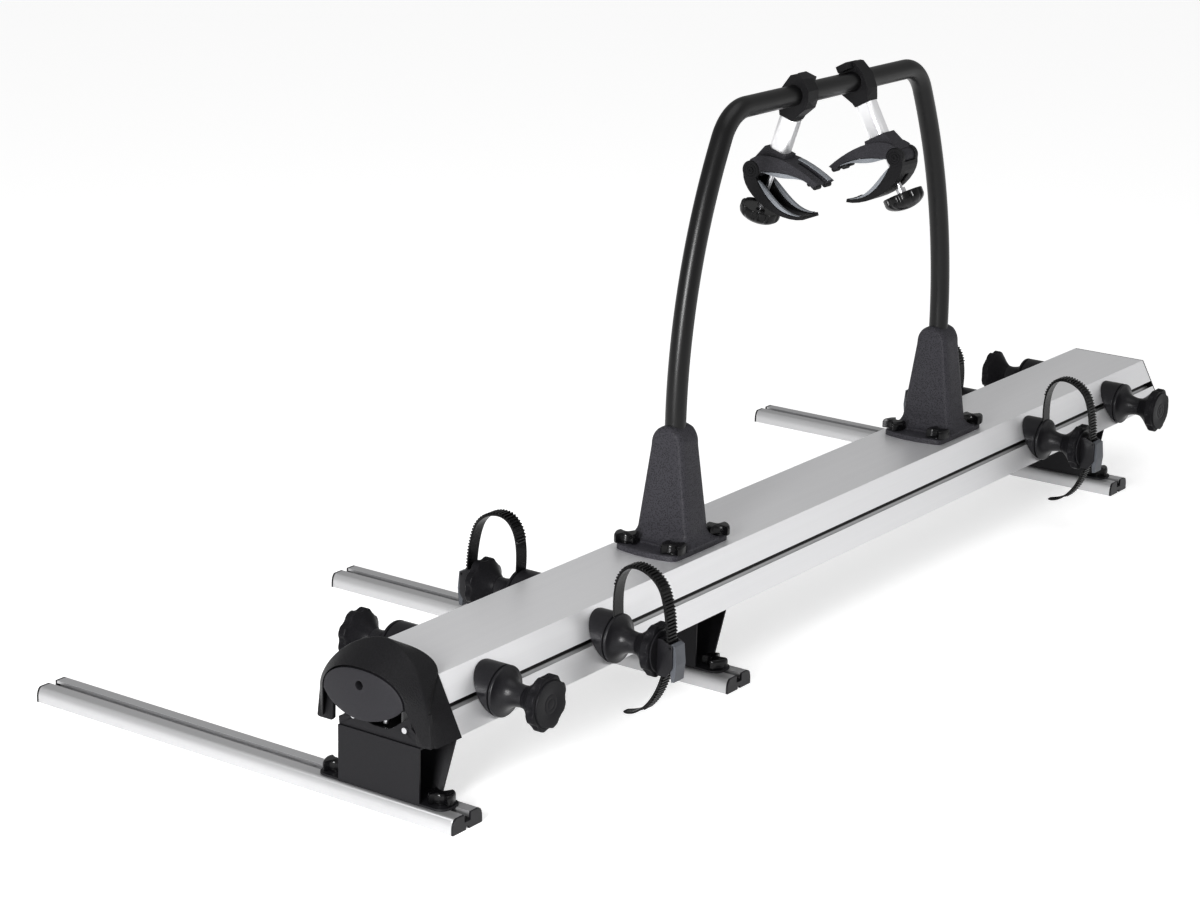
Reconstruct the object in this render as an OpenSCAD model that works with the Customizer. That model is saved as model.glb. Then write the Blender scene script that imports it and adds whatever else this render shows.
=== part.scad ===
// Slide-out bike carrier for the garage of a motorhome: floor rails, a support that crosses
// them, a beam that rolls out of it, wheel cradles with straps, and a hoop with two frame grips.
// X runs across the carrier, Y along the beam, Z up from the floor. Sizes are millimetres.

/* [Floor rails] */
// Left end of the floor rails
rail_left = -599; // [-700:1:-500]
// Right end of the floor rails
rail_right = 127; // [122:1:200]
// Width of a floor rail at its foot
rail_w = 59; // [54:1:70]
// Height of a floor rail
rail_h = 21; // [19:0.5:26]
// Width of the slot in the top of a floor rail
rail_slot = 12.4; // [10:0.1:14]
// Width of the chamber under that slot
rail_chamber_w = 23; // [21:0.5:25]
// Place of the middle floor rail along the beam
rail_mid_y = 617.5; // [560:0.5:680]
// Place of the far floor rail along the beam
rail_far_y = 1817.5; // [1760:0.5:1860]
// Thickness of a rail's end cap
rail_cap_t = 3; // [2:0.5:5]

/* [Brackets] */
// Width of a bracket
bracket_w = 132; // [110:1:140]
// Height of a bracket's top above the floor
bracket_top = 98; // [90:1:104]
// Place of the front plate, before the rail's centre line
bracket_front = 20.6; // [18:0.1:26]
// Depth of a bracket at its foot, behind the rail's centre line
bracket_foot_y = 27; // [24:1:34]
// Depth of a bracket at its top, behind the rail's centre line
bracket_top_y = 60; // [50:1:70]
// Thickness of the bracket's plates
plate_t = 3; // [2:0.5:4]
// Distance of the clamping bolts from the middle
foot_bolt_x = 85.5; // [82:0.5:90]
// Width of a bracket's ears
ear_w = 40; // [34:1:46]
// Length from end to end over the ears
ear_l = 208; // [200:1:214]

/* [Beam] */
// Height of the beam's top above the floor
beam_top = 185.8; // [180:0.1:195]
// Height of the beam's lower edge
beam_foot = 114.3; // [110:0.1:118]
// Half width of the beam's top
beam_half = 66.1; // [64:0.1:72]
// Slant of the beam's sides from upright, in degrees
beam_slant = 28.4; // [24:0.1:32]
// Near end of the beam
beam_near = 14; // [10:1:20]
// Far end of the beam
beam_far = 2010; // [1990:1:2100]
// Wall of the beam
beam_wall = 3; // [2.5:0.1:3.5]
// Width of the slot along each side
side_slot = 9.4; // [8.8:0.1:11]
// Distance of that slot from the beam's upper edge, along the side
side_slot_at = 43.8; // [41:0.1:47]
// Width of the chamber behind the side slot
side_chamber_w = 18; // [17:0.5:21]
// Depth of the chamber behind the side slot
side_chamber_d = 8; // [7:0.5:9]

/* [Rollers] */
// Diameter of a roller
roller_d = 26; // [24:0.5:28]
// Diameter of the roller axles
axle_d = 8; // [6:0.5:10]
// Distance of an axle behind its floor rail's centre line
axle_back = 25; // [22:1:40]
// Half width of the inner rail
inner_half = 35; // [30:1:37]

/* [Near cap] */
// Height of the cap's crown above the floor
cap_crown = 227; // [222:1:232]
// Half width of the cap at the feet of its front edge
cap_half = 95.5; // [92:0.5:99]
// How far the cap's nose stands before the near rail's centre line
cap_nose = 56; // [52:1:60]
// Wall of the cap
cap_wall = 3.5; // [2.5:0.1:4.5]
// Half width of the handle
handle_half = 64; // [60:0.5:64.5]
// Angle by which the handle swings in to lock, in degrees
handle_swing = 11.3; // [9:0.1:12]
// Diameter of the latch bolt
latch_d = 10; // [8:0.5:11]

/* [Hoop] */
// Diameter of the hoop's tube
hoop_d = 30; // [28:0.5:34]
// Wall of the hoop's tube
hoop_wall = 2; // [1.5:0.1:3]
// Distance between the hoop's feet
hoop_span = 747; // [700:1:800]
// Place of the hoop's middle along the beam
hoop_y = 1001; // [960:1:1040]
// Height of the hoop's bar
bar_z = 789; // [740:1:830]
// Radius of the curve of the hoop's legs
leg_r = 870; // [800:10:1000]
// Radius of the hoop's upper bends
bend_r = 65; // [50:1:80]

/* [Towers] */
// Height of the towers' top above the floor
tower_top = 362; // [340:1:380]
// Half width of the towers' base plates
tower_half = 52; // [50:0.5:56]
// Half length of the towers' base plates
tower_reach = 76; // [72:1:84]
// Half depth of the towers' columns
tower_depth = 24; // [21:0.5:28]
// Place of the wing bolts from a tower's middle, across
tower_bolt_x = 40; // [38:0.5:42]
// Place of the wing bolts from a tower's middle, along
tower_bolt_y = 56; // [52:0.5:58]

/* [Wing knobs] */
// Diameter of the wing knobs
wing_d = 33; // [28:1:35]
// Thickness of the wing knobs
wing_t = 10; // [8:0.5:12]
// Diameter of the clamping bolts
bolt_d = 8; // [6:0.5:8]

/* [Frame grips] */
// Places of the two grips along the hoop's bar
grip_y = [920, 1083]; // [860:1:1140]
// Tilt of the two grips from upright, in degrees
grip_tilt = [18, 28.5]; // [0:0.5:60]
// Width of a collar along the bar
collar_w = 28; // [24:1:34]
// How far a collar's lug stands out beside its ring
lug_out = 17; // [8:1:22]
// Distance of the silver tube's ends from the bar's centre
arm_ends = [36, 88]; // [30:1:100]
// Width of the silver tube
arm_w = 29; // [26:0.5:32]
// Width of the jaws
jaw_w = 45; // [40:1:50]
// Distance of the jaws' pivot from the bar's centre
pivot_r = 129; // [125:1:133]
// Distance of the jaws' pivot behind the arm's centre line
pivot_e = 24; // [22:1:26]
// Diameter of the grip's clamping knob
grip_knob_d = 61; // [54:1:66]
// Height of the grip's clamping knob
grip_knob_h = 24; // [20:1:28]
// Diameter of the grip's clamping rod
rod_d = 8; // [6:0.5:9]

/* [Wheel cradles] */
// Places of the four right cradles along the beam
right_y = [101, 348, 1567, 1854]; // [60:1:1960]
// Places of the four left cradles along the beam
left_y = [143, 412, 1655, 1902]; // [60:1:1960]
// Radius of a cradle's inner ring
ring_r = 34; // [32:0.5:36]
// Distance of the ring from the beam's middle
ring_x = 108; // [106:0.5:110]
// Radius of a cradle's waist
waist_r = 14.5; // [12:0.5:16]
// Distance of the seam between cradle and knob from the beam's middle
seam_x = 141; // [138:0.5:144]
// Radius of the lobed knob
lobe_r = 37; // [35:0.5:39]
// Distance of the lobed knob's front from the beam's middle
lobe_x = 176; // [173:0.5:178]
// Thickness of the lobed rim
lobe_t = 13; // [10:0.5:15]

/* [Straps] */
// Width of the straps
strap_w = 22; // [18:0.5:24]
// Thickness of the straps under their teeth
strap_t = 2.4; // [2:0.1:3]
// Height of the straps' teeth
tooth_h = 1.2; // [0.8:0.1:1.4]
// Spacing of the straps' teeth
tooth_pitch = 5; // [4:0.1:7]
// Thickness of the buckle's cheeks
cheek_t = 2.3; // [1.5:0.1:3]

/* [Hidden] */
$fn = 96;

// Clearances: a shaft in its bore, a part that slides past another, a bolt in its hole
shaft_gap = 0.05;
slide_gap = 0.3;
hole_gap = 0.3;

black = [0.15, 0.15, 0.17];
plastic = [0.2, 0.2, 0.22];
silver = [0.78, 0.79, 0.81];
steel = [0.6, 0.61, 0.63];
grey = [0.45, 0.49, 0.56];

// Floor rail section
rail_floor_t = 3;
rail_lip_t = 4;
rail_chamber_z = 7;
cap_notch_z = 10.5;
rail_shoulder = [7.5, 14];
rail_side_wall = 2.7;
rail_screw_d = 6.5;
rail_screw_in = [45, 27];
rail_plug_l = 10;
rail_y = [0, rail_mid_y, rail_far_y];

// Clamping bolts that hold the brackets to the floor rails
t_head = [14, rail_chamber_w - 3, 5];
wing_seat = 1;
wing_roof = 2.5;

// Beam section
side_l = (beam_top - beam_foot) / cos(beam_slant);
beam_foot_half = beam_half + (beam_top - beam_foot) * tan(beam_slant);
slot_x = beam_half + side_slot_at * sin(beam_slant);
slot_z = beam_top - side_slot_at * cos(beam_slant);
beam_lip = 15;
track_web_x = inner_half + 25;
track_lip_x = inner_half + 7;
track_gap = [0.3, 0.5];
track_t = 3;
roller_w = 14;
roller_z = beam_top - beam_wall - 13.1 - roller_d / 2;
track_roof = roller_z + roller_d / 2 + track_gap[0];
track_floor = roller_z - roller_d / 2 - track_gap[1];

// Support
inner_base = bracket_top;
inner_near = -14;
inner_far = rail_far_y + 52;
inner_top = roller_z + 9;
port_x = inner_half + 6.6;
port_z = inner_base + 17.7;
port_r = 5;
guide_t = 4;
guide_screw_d = 4.2;
axle_y = [axle_back, rail_mid_y + axle_back];
axle_half = track_web_x - 1.5;

// Near cap: the outline of its rim, of its front edge and of the opening for the handle.
// Each is [half width at foot, z of foot, half width at shoulder, z of shoulder, z of top,
// roundness, y at foot, y at shoulder, y at top].
rim_z = beam_foot - 2.3;
rim_line = [
    beam_half + (beam_top - rim_z) * tan(beam_slant), rim_z, beam_half + 1.4, beam_top + 2.2,
    cap_crown - 12, 2.4, beam_near, beam_near, beam_near
];
edge_line = [cap_half, 106, cap_half - 7.5, 149, cap_crown, 1.75, -23.5, -30, -8];
nose_line = [80, 111, 66, 158, cap_crown - 27.5, 2.1, -34, 6 - cap_nose, -cap_nose];
nose_land = 3;
foot_steps = 5;
arch_steps = 10;
handle_pivot = [-33, 150];
handle_bar_r = 3;
handle_boss_r = 6;
handle_boss_x = [67, 74.5];
handle_face = 58;
handle_dome = 268;
handle_top_gap = 2.5;
handle_hole = [12, 177];
latch_y = -4;
latch_foot = 111.3;
latch_top = 190;
fork_z = handle_pivot[1];
latch_collar_r = 8;
latch_collar_t = 2.6;
fork_t = 6;
fork_play = 1.65;
post_z = [handle_pivot[1] + 9, 205];

// Towers and hoop
tower_y = [hoop_y - hoop_span / 2, hoop_y + hoop_span / 2];
tower_plate_t = 8;
tower_foot_half = 45;
tower_head_half = 26;
tower_head_r = 27;
tower_flare = 42;
tower_socket_z = beam_top + 62;
tower_pocket_r = wing_d / 2 + 2.5;
tower_bolt_foot = beam_top - beam_wall - 6;
hoop_r = hoop_d / 2;
leg_z = tower_top - 3;
leg_straight = 12;
leg_lead = leg_r - bend_r;
bend_a = asin((bar_z - leg_z - bend_r) / norm([leg_lead, leg_straight]))
    - atan(leg_straight / leg_lead);
bend_y = hoop_span / 2 - leg_r + leg_lead * cos(bend_a) - leg_straight * sin(bend_a);
weld = 0.1;
weld_lap = 3;
weld_in = 1;

// Frame grips, in each arm's own frame: x to the mouth, z up the arm, the bar at the origin
arm_d = 24;
stud_d = 18;
stud_ends = [60, 66];
// Outline of a collar beside its foot: x towards the mouth, z up the arm
collar_ring = [
    [-15, -30], [-20, -19], [-22, 4], [-15, 25], [-10, 28], [6, 28], [21, 15], [25, 3], [25, -11],
    [14, -29], [12, -arm_ends[0]]
];
lug_z = [18, 28];
jaw_cheek = 7.2;
jaw_knuckle_r = 12;
jaw_boss_r = 14;
jaw_pin_d = 6;
jaw_inner = jaw_w / 2 - jaw_cheek;
rod_top = 84;
rod_collar = [172, 180];
rod_collar_r = 7;
knob_top_r = rod_collar[1];
knob_straight = 9;

// Wheel cradles, in each cradle's own frame: x from the beam's middle, z from the axis
stud_r = 4;
stud_well_r = 9;
pad_gap = 0.1;
t_neck_d = 8.4;
t_nut = [side_chamber_w - 1.6, 18, side_chamber_d - 2];
disc_r = 30.5;
disc_t = 2;
lobe_count = 8;
lobe_cut_r = 12;
lobe_cut_at = lobe_r + 8;
trumpet_x = lobe_x - lobe_t;
pocket = [7, 24, 8];
pocket_x = ring_x - 6;

// Straps and buckles
strap_root_x = pocket_x + pocket[0] / 2;
strap_in_x = lobe_x + 14;
buckle_y = strap_w / 2 + 0.7;
buckle_z = [-31, 20];
lever_pin = [strap_in_x + 8, 11];
lever_pin_r = 1.5;
lever_foot = -37;
lever_head_r = 4;

// Points of an arc of a circle or an ellipse from angle a0 to angle a1
function arc(c, r, a0, a1, n) = [
    for (i = [0:n]) let (a = a0 + (a1 - a0) * i / n) [c[0] + r[0] * cos(a), c[1] + r[1] * sin(a)]
];

// Point at t of a cubic curve
function curve_at(p, t) = pow(1 - t, 3) * p[0] + 3 * t * pow(1 - t, 2) * p[1]
    + 3 * t * t * (1 - t) * p[2] + pow(t, 3) * p[3];
function curve(p, n) = [for (i = [0:n]) curve_at(p, i / n)];
function mix(a, b, t) = a + (b - a) * t;
function flip_x(points) = [for (i = [len(points) - 1:-1:0]) [-points[i][0], points[i][1]]];

module along_x(x0, x1) {
    translate([x0, 0, 0])
        rotate([90, 0, 90])
            linear_extrude(x1 - x0)
                children();
}

module along_y(y0, y1) {
    translate([0, y1, 0])
        rotate([90, 0, 0])
            linear_extrude(y1 - y0)
                children();
}

module block(x, y, z) {
    translate([x[0], y[0], z[0]])
        cube([x[1] - x[0], y[1] - y[0], z[1] - z[0]]);
}

module rod_x(x0, x1, y, z, r) {
    translate([x0, y, z])
        rotate([0, 90, 0])
            cylinder(r = r, h = x1 - x0);
}

module rod_y(x, y0, y1, z, r) {
    translate([x, y0, z])
        rotate([-90, 0, 0])
            cylinder(r = r, h = y1 - y0);
}

module rod_z(x, y, z0, z1, r) {
    translate([x, y, z0])
        cylinder(r = r, h = z1 - z0);
}

module both_x() {
    children();
    mirror([1, 0, 0])
        children();
}

module on_side(side) {
    if (side > 0)
        children();
    else
        mirror([1, 0, 0])
            children();
}

module round_box(w, l, r) {
    square([w - 2 * r, l], center = true);
    square([w, l - 2 * r], center = true);
    for (x = [-1, 1], y = [-1, 1])
        translate([x * (w / 2 - r), y * (l / 2 - r)])
            circle(r = r);
}

// Bow-tie wing knob, with its seat at z = 0
module wing_knob() {
    waist_cut = wing_d * 0.38;
    translate([0, 0, wing_seat])
        difference() {
            cylinder(d = wing_d, h = wing_t);
            for (s = [-1, 1])
                translate([0, s * (waist_cut + 6.5), -1])
                    cylinder(r = waist_cut, h = wing_t + 2);
        }
    cylinder(r = 9, h = wing_seat + wing_t * 0.8);
}

// Floor rails
module rail_outline() {
    half = rail_w / 2;
    shoulder = arc(
        [half - rail_shoulder[0], rail_h - rail_shoulder[1]], rail_shoulder, 0, 90, 8
    );
    polygon(concat([[half, 0]], shoulder, flip_x(concat([[half, 0]], shoulder))));
}

module rail_section() {
    chamber = rail_chamber_w / 2;
    side_in = chamber + rail_side_wall;
    side_out = rail_w / 2 - rail_side_wall - 1;
    difference() {
        rail_outline();
        translate([-rail_slot / 2, rail_chamber_z])
            square([rail_slot, rail_h]);
        translate([-chamber, rail_chamber_z])
            square([rail_chamber_w, rail_h - rail_lip_t - rail_chamber_z]);
        for (s = [-1, 1])
            translate([s > 0 ? side_in : -side_out, rail_floor_t])
                square([side_out - side_in, 10]);
    }
}

module rail(y) {
    color(silver)
        translate([0, y, 0])
            difference() {
                along_x(rail_left + rail_cap_t, rail_right - rail_cap_t)
                    rail_section();
                for (x = [rail_left + rail_screw_in[0], rail_right - rail_screw_in[1]])
                    rod_z(x, 0, -1, rail_chamber_z + 1, rail_screw_d / 2);
            }
}

module rail_end_cap(y, x, dir) {
    chamber = rail_chamber_w / 2;
    plug = [x + dir * rail_cap_t / 2, x + dir * (rail_cap_t + rail_plug_l)];
    translate([0, y, 0]) {
        difference() {
            along_x(min(x, x + dir * rail_cap_t), max(x, x + dir * rail_cap_t))
                rail_outline();
            block([x - rail_cap_t - 1, x + rail_cap_t + 1], [-rail_slot / 2, rail_slot / 2],
                [cap_notch_z, rail_h + 1]);
            block([x - rail_cap_t - 1, x + rail_cap_t + 1], [-3, 3], [-1, 4]);
        }
        block([min(plug), max(plug)], [0.3 - chamber, chamber - 0.3],
            [rail_chamber_z + 0.2, cap_notch_z]);
    }
}

module rail_end_caps() {
    color(black)
        for (y = rail_y) {
            rail_end_cap(y, rail_left, 1);
            rail_end_cap(y, rail_right, -1);
        }
}

// Support
module bracket(y) {
    side = [
        [-bracket_front, rail_h], [bracket_foot_y, rail_h], [bracket_top_y, bracket_top],
        [-bracket_front, bracket_top]
    ];
    lean = plate_t / cos(atan((bracket_top_y - bracket_foot_y) / (bracket_top - rail_h)));
    hollow = [
        [plate_t - bracket_front, rail_h + plate_t], [bracket_foot_y - lean + 1, rail_h + plate_t],
        [bracket_top_y - lean - 1.3, bracket_top - plate_t],
        [plate_t - bracket_front, bracket_top - plate_t]
    ];
    color(black)
        translate([0, y, 0])
            difference() {
                union() {
                    along_x(-bracket_w / 2, bracket_w / 2)
                        polygon(side);
                    translate([0, 0, rail_h])
                        linear_extrude(plate_t)
                            round_box(ear_l, ear_w, 14);
                }
                along_x(-bracket_w, bracket_w)
                    polygon(hollow);
                for (s = [-1, 1])
                    rod_z(s * foot_bolt_x, 0, rail_h - 1, rail_h + plate_t + 1, bolt_d / 2 + hole_gap);
            }
}

module bracket_bolts() {
    head_top = rail_h - rail_lip_t - slide_gap;
    color(steel)
        for (y = rail_y, s = [-1, 1]) {
            block([s * foot_bolt_x - t_head[0] / 2, s * foot_bolt_x + t_head[0] / 2],
                [y - t_head[1] / 2, y + t_head[1] / 2], [head_top - t_head[2], head_top]);
            rod_z(s * foot_bolt_x, y, head_top - 1, rail_h + plate_t + wing_t - wing_roof, bolt_d / 2);
        }
}

module bracket_knobs() {
    color(plastic)
        for (y = rail_y, s = [-1, 1])
            translate([s * foot_bolt_x, y, rail_h + plate_t])
                difference() {
                    wing_knob();
                    rod_z(0, 0, -1, wing_t - wing_roof + 0.2, bolt_d / 2 + shaft_gap);
                }
}

module inner_rail() {
    color(steel)
        difference() {
            union() {
                along_y(inner_near, inner_far) {
                    difference() {
                        translate([-inner_half, inner_base])
                            square([2 * inner_half, inner_top - inner_base]);
                        translate([plate_t - inner_half, inner_base + plate_t])
                            square([2 * (inner_half - plate_t), inner_top]);
                    }
                    for (s = [-1, 1])
                        translate([s * port_x, port_z])
                            circle(r = port_r);
                    for (s = [-1, 1])
                        translate([s > 0 ? inner_half - 1 : -port_x, port_z - 1.5])
                            square([port_x - inner_half + 1, plate_t]);
                }
            }
            for (s = [-1, 1])
                rod_y(s * port_x, inner_near - 1, inner_far + 1, port_z, guide_screw_d / 2 + shaft_gap);
            for (y = axle_y)
                rod_x(-inner_half - 1, inner_half + 1, y, roller_z, axle_d / 2 + shaft_gap);
        }
}

module guide_end_plate() {
    half = bracket_w / 2;
    ear = port_x + 5.5;
    right = [
        [half, inner_base], [half + 1, inner_base + 10], [half - 6, inner_base + 14],
        [ear + 4, inner_base + 22], [ear + 1.5, inner_base + 36], [ear - 1, inner_base + 36]
    ];
    saddle = curve([
        [ear - 6, inner_base + 31], [ear - 22, inner_base + 19],
        [latch_d + 8, inner_base + 12], [latch_d, inner_base + 12]
    ], 8);
    color(black)
        difference() {
            along_y(inner_near - guide_t, inner_near)
                polygon(concat(right, saddle, flip_x(concat(right, saddle))));
            for (s = [-1, 1])
                rod_y(s * port_x, inner_near - guide_t - 1, inner_near + 1, port_z,
                    guide_screw_d / 2 + hole_gap);
        }
}

module guide_screws() {
    color(silver)
        for (s = [-1, 1]) {
            rod_y(s * port_x, inner_near - guide_t - 2.5, inner_near - guide_t, port_z, 4);
            rod_y(s * port_x, inner_near - guide_t - 1, inner_near + 12, port_z, guide_screw_d / 2);
        }
}

module roller_pair(y) {
    color(plastic)
        both_x()
            difference() {
                union() {
                    rod_x(track_web_x - 3 - roller_w, track_web_x - 3, y, roller_z, roller_d / 2);
                    rod_x(inner_half + slide_gap, track_web_x - 2, y, roller_z, axle_d / 2 + 3);
                }
                rod_x(inner_half, track_web_x, y, roller_z, axle_d / 2 + shaft_gap);
            }
}

module roller_axles() {
    color(steel)
        for (y = axle_y)
            rod_x(-axle_half, axle_half, y, roller_z, axle_d / 2);
}

// Beam: one half of its section, in a frame that runs down the right side from the upper edge
module side_place() {
    translate([beam_half, beam_top])
        rotate(beam_slant - 90)
            children();
}

module beam_outline() {
    polygon([
        [-beam_foot_half, beam_foot], [-beam_half, beam_top], [beam_half, beam_top],
        [beam_foot_half, beam_foot]
    ]);
}

module beam_shell() {
    lean = beam_wall * tan(beam_slant);
    wall_x = beam_wall / cos(beam_slant);
    half = [
        [beam_half, beam_top], [beam_foot_half, beam_foot],
        [beam_foot_half - beam_lip, beam_foot], [beam_foot_half - beam_lip, beam_foot + beam_wall],
        [beam_foot_half - lean - wall_x, beam_foot + beam_wall],
        [beam_half + lean - wall_x, beam_top - beam_wall]
    ];
    polygon(concat(half, flip_x(half)));
}

// What the right half carries inside: the slot's chamber and the two flanges for the rollers
module beam_ribs() {
    along_y(beam_near, beam_far)
        side_place()
            translate([side_slot_at - side_chamber_w / 2 - 2.5, -beam_wall - side_chamber_d - 2.5])
                square([side_chamber_w + 5, side_chamber_d + 4]);
    block([track_web_x, track_web_x + track_t], [beam_near, beam_far],
        [track_floor - track_t, beam_top - 1]);
    block([track_lip_x, track_web_x + 1], [beam_near, beam_far], [track_roof, track_roof + track_t]);
    block([track_lip_x, slot_x - 13], [beam_near, beam_far], [track_floor - track_t, track_floor]);
}

module side_slot_cuts() {
    side_place() {
        translate([side_slot_at - side_chamber_w / 2, -beam_wall - side_chamber_d])
            square([side_chamber_w, side_chamber_d]);
        translate([side_slot_at - side_slot / 2, -beam_wall - 1])
            square([side_slot, beam_wall + 2]);
    }
}

module tower_bolt_places() {
    for (y = tower_y, sx = [-1, 1], sy = [-1, 1])
        translate([sx * tower_bolt_x, y + sy * tower_bolt_y, 0])
            children();
}

module beam() {
    color(silver)
        difference() {
            union() {
                along_y(beam_near, beam_far)
                    beam_shell();
                both_x()
                    beam_ribs();
            }
            both_x()
                along_y(beam_near - 1, beam_far + 1)
                    side_slot_cuts();
            tower_bolt_places()
                rod_z(0, 0, beam_top - beam_wall - 1, beam_top + 1, bolt_d / 2 + hole_gap);
        }
}

module far_cover() {
    color(plastic)
        along_y(beam_far, beam_far + 3)
            difference() {
                beam_outline();
                translate([-port_x - port_r - 3, 0])
                    square([2 * (port_x + port_r + 3), inner_top + 4]);
            }
}

// Near cap: an arch that is lofted from the rim over the front edge to the handle's opening.
// Point number i of a line runs from the right foot over the top to the left foot.
function arch_angle(i) = 90 * (i - foot_steps) / arch_steps;
function arch_half(l, i) = i < foot_steps
    ? let (t = i / foot_steps) [
        mix(l[0], l[2], t), mix(l[6], l[7], t), mix(l[1], l[3], t)
    ]
    : let (
        c = pow(max(0, cos(arch_angle(i))), 2 / l[5]),
        s = pow(sin(arch_angle(i)), 2 / l[5])
    ) [l[2] * c, mix(l[8], l[7], pow(c, 1.4)), mix(l[3], l[4], s)];
function arch_line(l) = let (n = foot_steps + arch_steps) [
    for (i = [0:2 * n]) i <= n
        ? arch_half(l, i)
        : let (p = arch_half(l, 2 * n - i)) [-p[0], p[1], p[2]]
];
function shrink(l, side, top) = [
    l[0] - side, l[1], l[2] - side, l[3], l[4] - top, l[5], l[6], l[7], l[8]
];
function back(l, d) = [l[0], l[1], l[2], l[3], l[4], l[5], l[6] + d, l[7] + d, l[8] + d];
function mix_line(a, b, t) = let (p = arch_line(a), q = arch_line(b)) [
    for (i = [0:len(p) - 1]) mix(p[i], q[i], t)
];

function cap_lines() = let (
    rim_in = shrink(rim_line, cap_wall, cap_wall),
    edge_in = shrink(edge_line, cap_wall, cap_wall + 0.5),
    face_in = back(shrink(edge_line, cap_wall, cap_wall + 0.5), cap_wall),
    nose_in = back(nose_line, nose_land)
) [
    arch_line(rim_line), mix_line(rim_line, edge_line, 0.5), mix_line(rim_line, edge_line, 0.9),
    mix_line(edge_line, nose_line, 0.16), mix_line(edge_line, nose_line, 0.6),
    arch_line(nose_line),
    arch_line(nose_in), mix_line(face_in, nose_in, 0.6), mix_line(face_in, nose_in, 0.16),
    mix_line(rim_in, edge_in, 0.85), mix_line(rim_in, edge_in, 0.5), arch_line(rim_in)
];

// Closed skin over lines that follow each other in a ring, each open from foot to foot
module ring_loft(lines) {
    n = len(lines);
    m = len(lines[0]);
    half = n / 2;
    points = [for (l = lines) for (p = l) p];
    walls = [
        for (k = [0:n - 1]) for (i = [0:m - 2]) let (
            a = k * m + i,
            b = ((k + 1) % n) * m + i
        ) each [[a, b, a + 1], [b, b + 1, a + 1]]
    ];
    function foot(i) = [
        for (k = [0:half - 2]) let (
            a = k * m + i,
            b = (k + 1) * m + i,
            c = (n - 2 - k) * m + i,
            d = (n - 1 - k) * m + i
        ) each (i == 0 ? [[a, d, b], [d, c, b]] : [[a, b, d], [d, b, c]])
    ];
    polyhedron(points, concat(walls, foot(0), foot(m - 1)));
}

module near_cap() {
    rear_arch = [for (p = arch_line(shrink(rim_line, 1.5, 1.5))) if (p[2] > beam_top + 1) [p[0], p[2]]];
    wall_z = beam_top - beam_wall - 6;
    color(plastic)
        difference() {
            union() {
                ring_loft(cap_lines());
                along_y(beam_near - 3.5, beam_near)
                    polygon(concat(
                        [[beam_half - 6, wall_z]], rear_arch, [[6 - beam_half, wall_z]]
                    ));
                block([-track_lip_x, track_lip_x], [beam_near - 1, beam_near + 36],
                    [wall_z, beam_top - beam_wall]);
                block([-9, 9], [latch_y - 9, beam_near - 1], post_z);
                both_x()
                    rod_x(handle_boss_x[0], handle_boss_x[1], handle_pivot[0], handle_pivot[1],
                        handle_boss_r);
            }
            rod_z(0, latch_y, post_z[0] - 1, post_z[1] - 5, latch_d / 2 + shaft_gap);
            rod_x(1 - handle_boss_x[1], handle_boss_x[1] - 1, handle_pivot[0], handle_pivot[1],
                handle_bar_r + shaft_gap);
        }
}

module release_handle() {
    top = shrink(nose_line, nose_line[2] - handle_half, handle_top_gap);
    crown = [for (p = arch_line(top)) if (p[2] > top[3] - 0.1) [p[0], p[2]]];
    foot_curve = curve([
        [-handle_half, top[3]], [12 - handle_half, top[3] - 17],
        [-24, 131], [0, 131]
    ], 10);
    foot = concat(foot_curve, flip_x(foot_curve));
    pivot_y = handle_pivot[0];
    pivot_z = handle_pivot[1];
    color(plastic)
        difference() {
            union() {
                intersection() {
                    along_y(-handle_face, 12 - handle_face)
                        polygon(concat(crown, foot));
                    translate([0, handle_dome - handle_face, 163])
                        sphere(r = handle_dome, $fn = 360);
                }
                for (x = [-25, 25])
                    block([x - 2.5, x + 2.5], [10 - handle_face, pivot_y], [pivot_z - 5, pivot_z + 3]);
                rod_x(2 - handle_boss_x[1], handle_boss_x[1] - 2, pivot_y, pivot_z, handle_bar_r);
                block([-9, 9], [pivot_y - 2, latch_y + 4], [fork_z - fork_t / 2, fork_z + fork_t / 2]);
            }
            block([-latch_d / 2 - 0.5, latch_d / 2 + 0.5], [latch_y - latch_d / 2 - 0.8, latch_y + 9],
                [fork_z - fork_t, fork_z + fork_t]);
            rod_y(0, -handle_face - 1, -handle_face + 14, handle_hole[1], handle_hole[0] / 2);
        }
}

module latch_bolt() {
    color(steel) {
        rod_z(0, latch_y, latch_foot, latch_top, latch_d / 2);
        for (z = [fork_z - fork_t / 2 - fork_play - latch_collar_t, fork_z + fork_t / 2 + fork_play])
            rod_z(0, latch_y, z, z + latch_collar_t, latch_collar_r);
    }
}

// Towers
module tower_front() {
    foot = beam_top;
    head_z = tower_top - tower_head_r;
    half = [
        [tower_half, foot], [tower_half, foot + 5], [tower_foot_half + 2, foot + 13],
        [tower_foot_half, foot + 21], [tower_head_half, head_z + 5]
    ];
    polygon(concat(half, flip_x(half)));
    translate([0, head_z])
        circle(r = tower_head_r);
}

module tower_side() {
    reach = tower_depth + tower_flare;
    flare_z = beam_top + tower_plate_t - 2 + tower_flare;
    difference() {
        translate([-reach, beam_top])
            square([2 * reach, flare_z - beam_top]);
        for (s = [-1, 1])
            translate([s * reach, flare_z])
                circle(r = tower_flare);
    }
}

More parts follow.
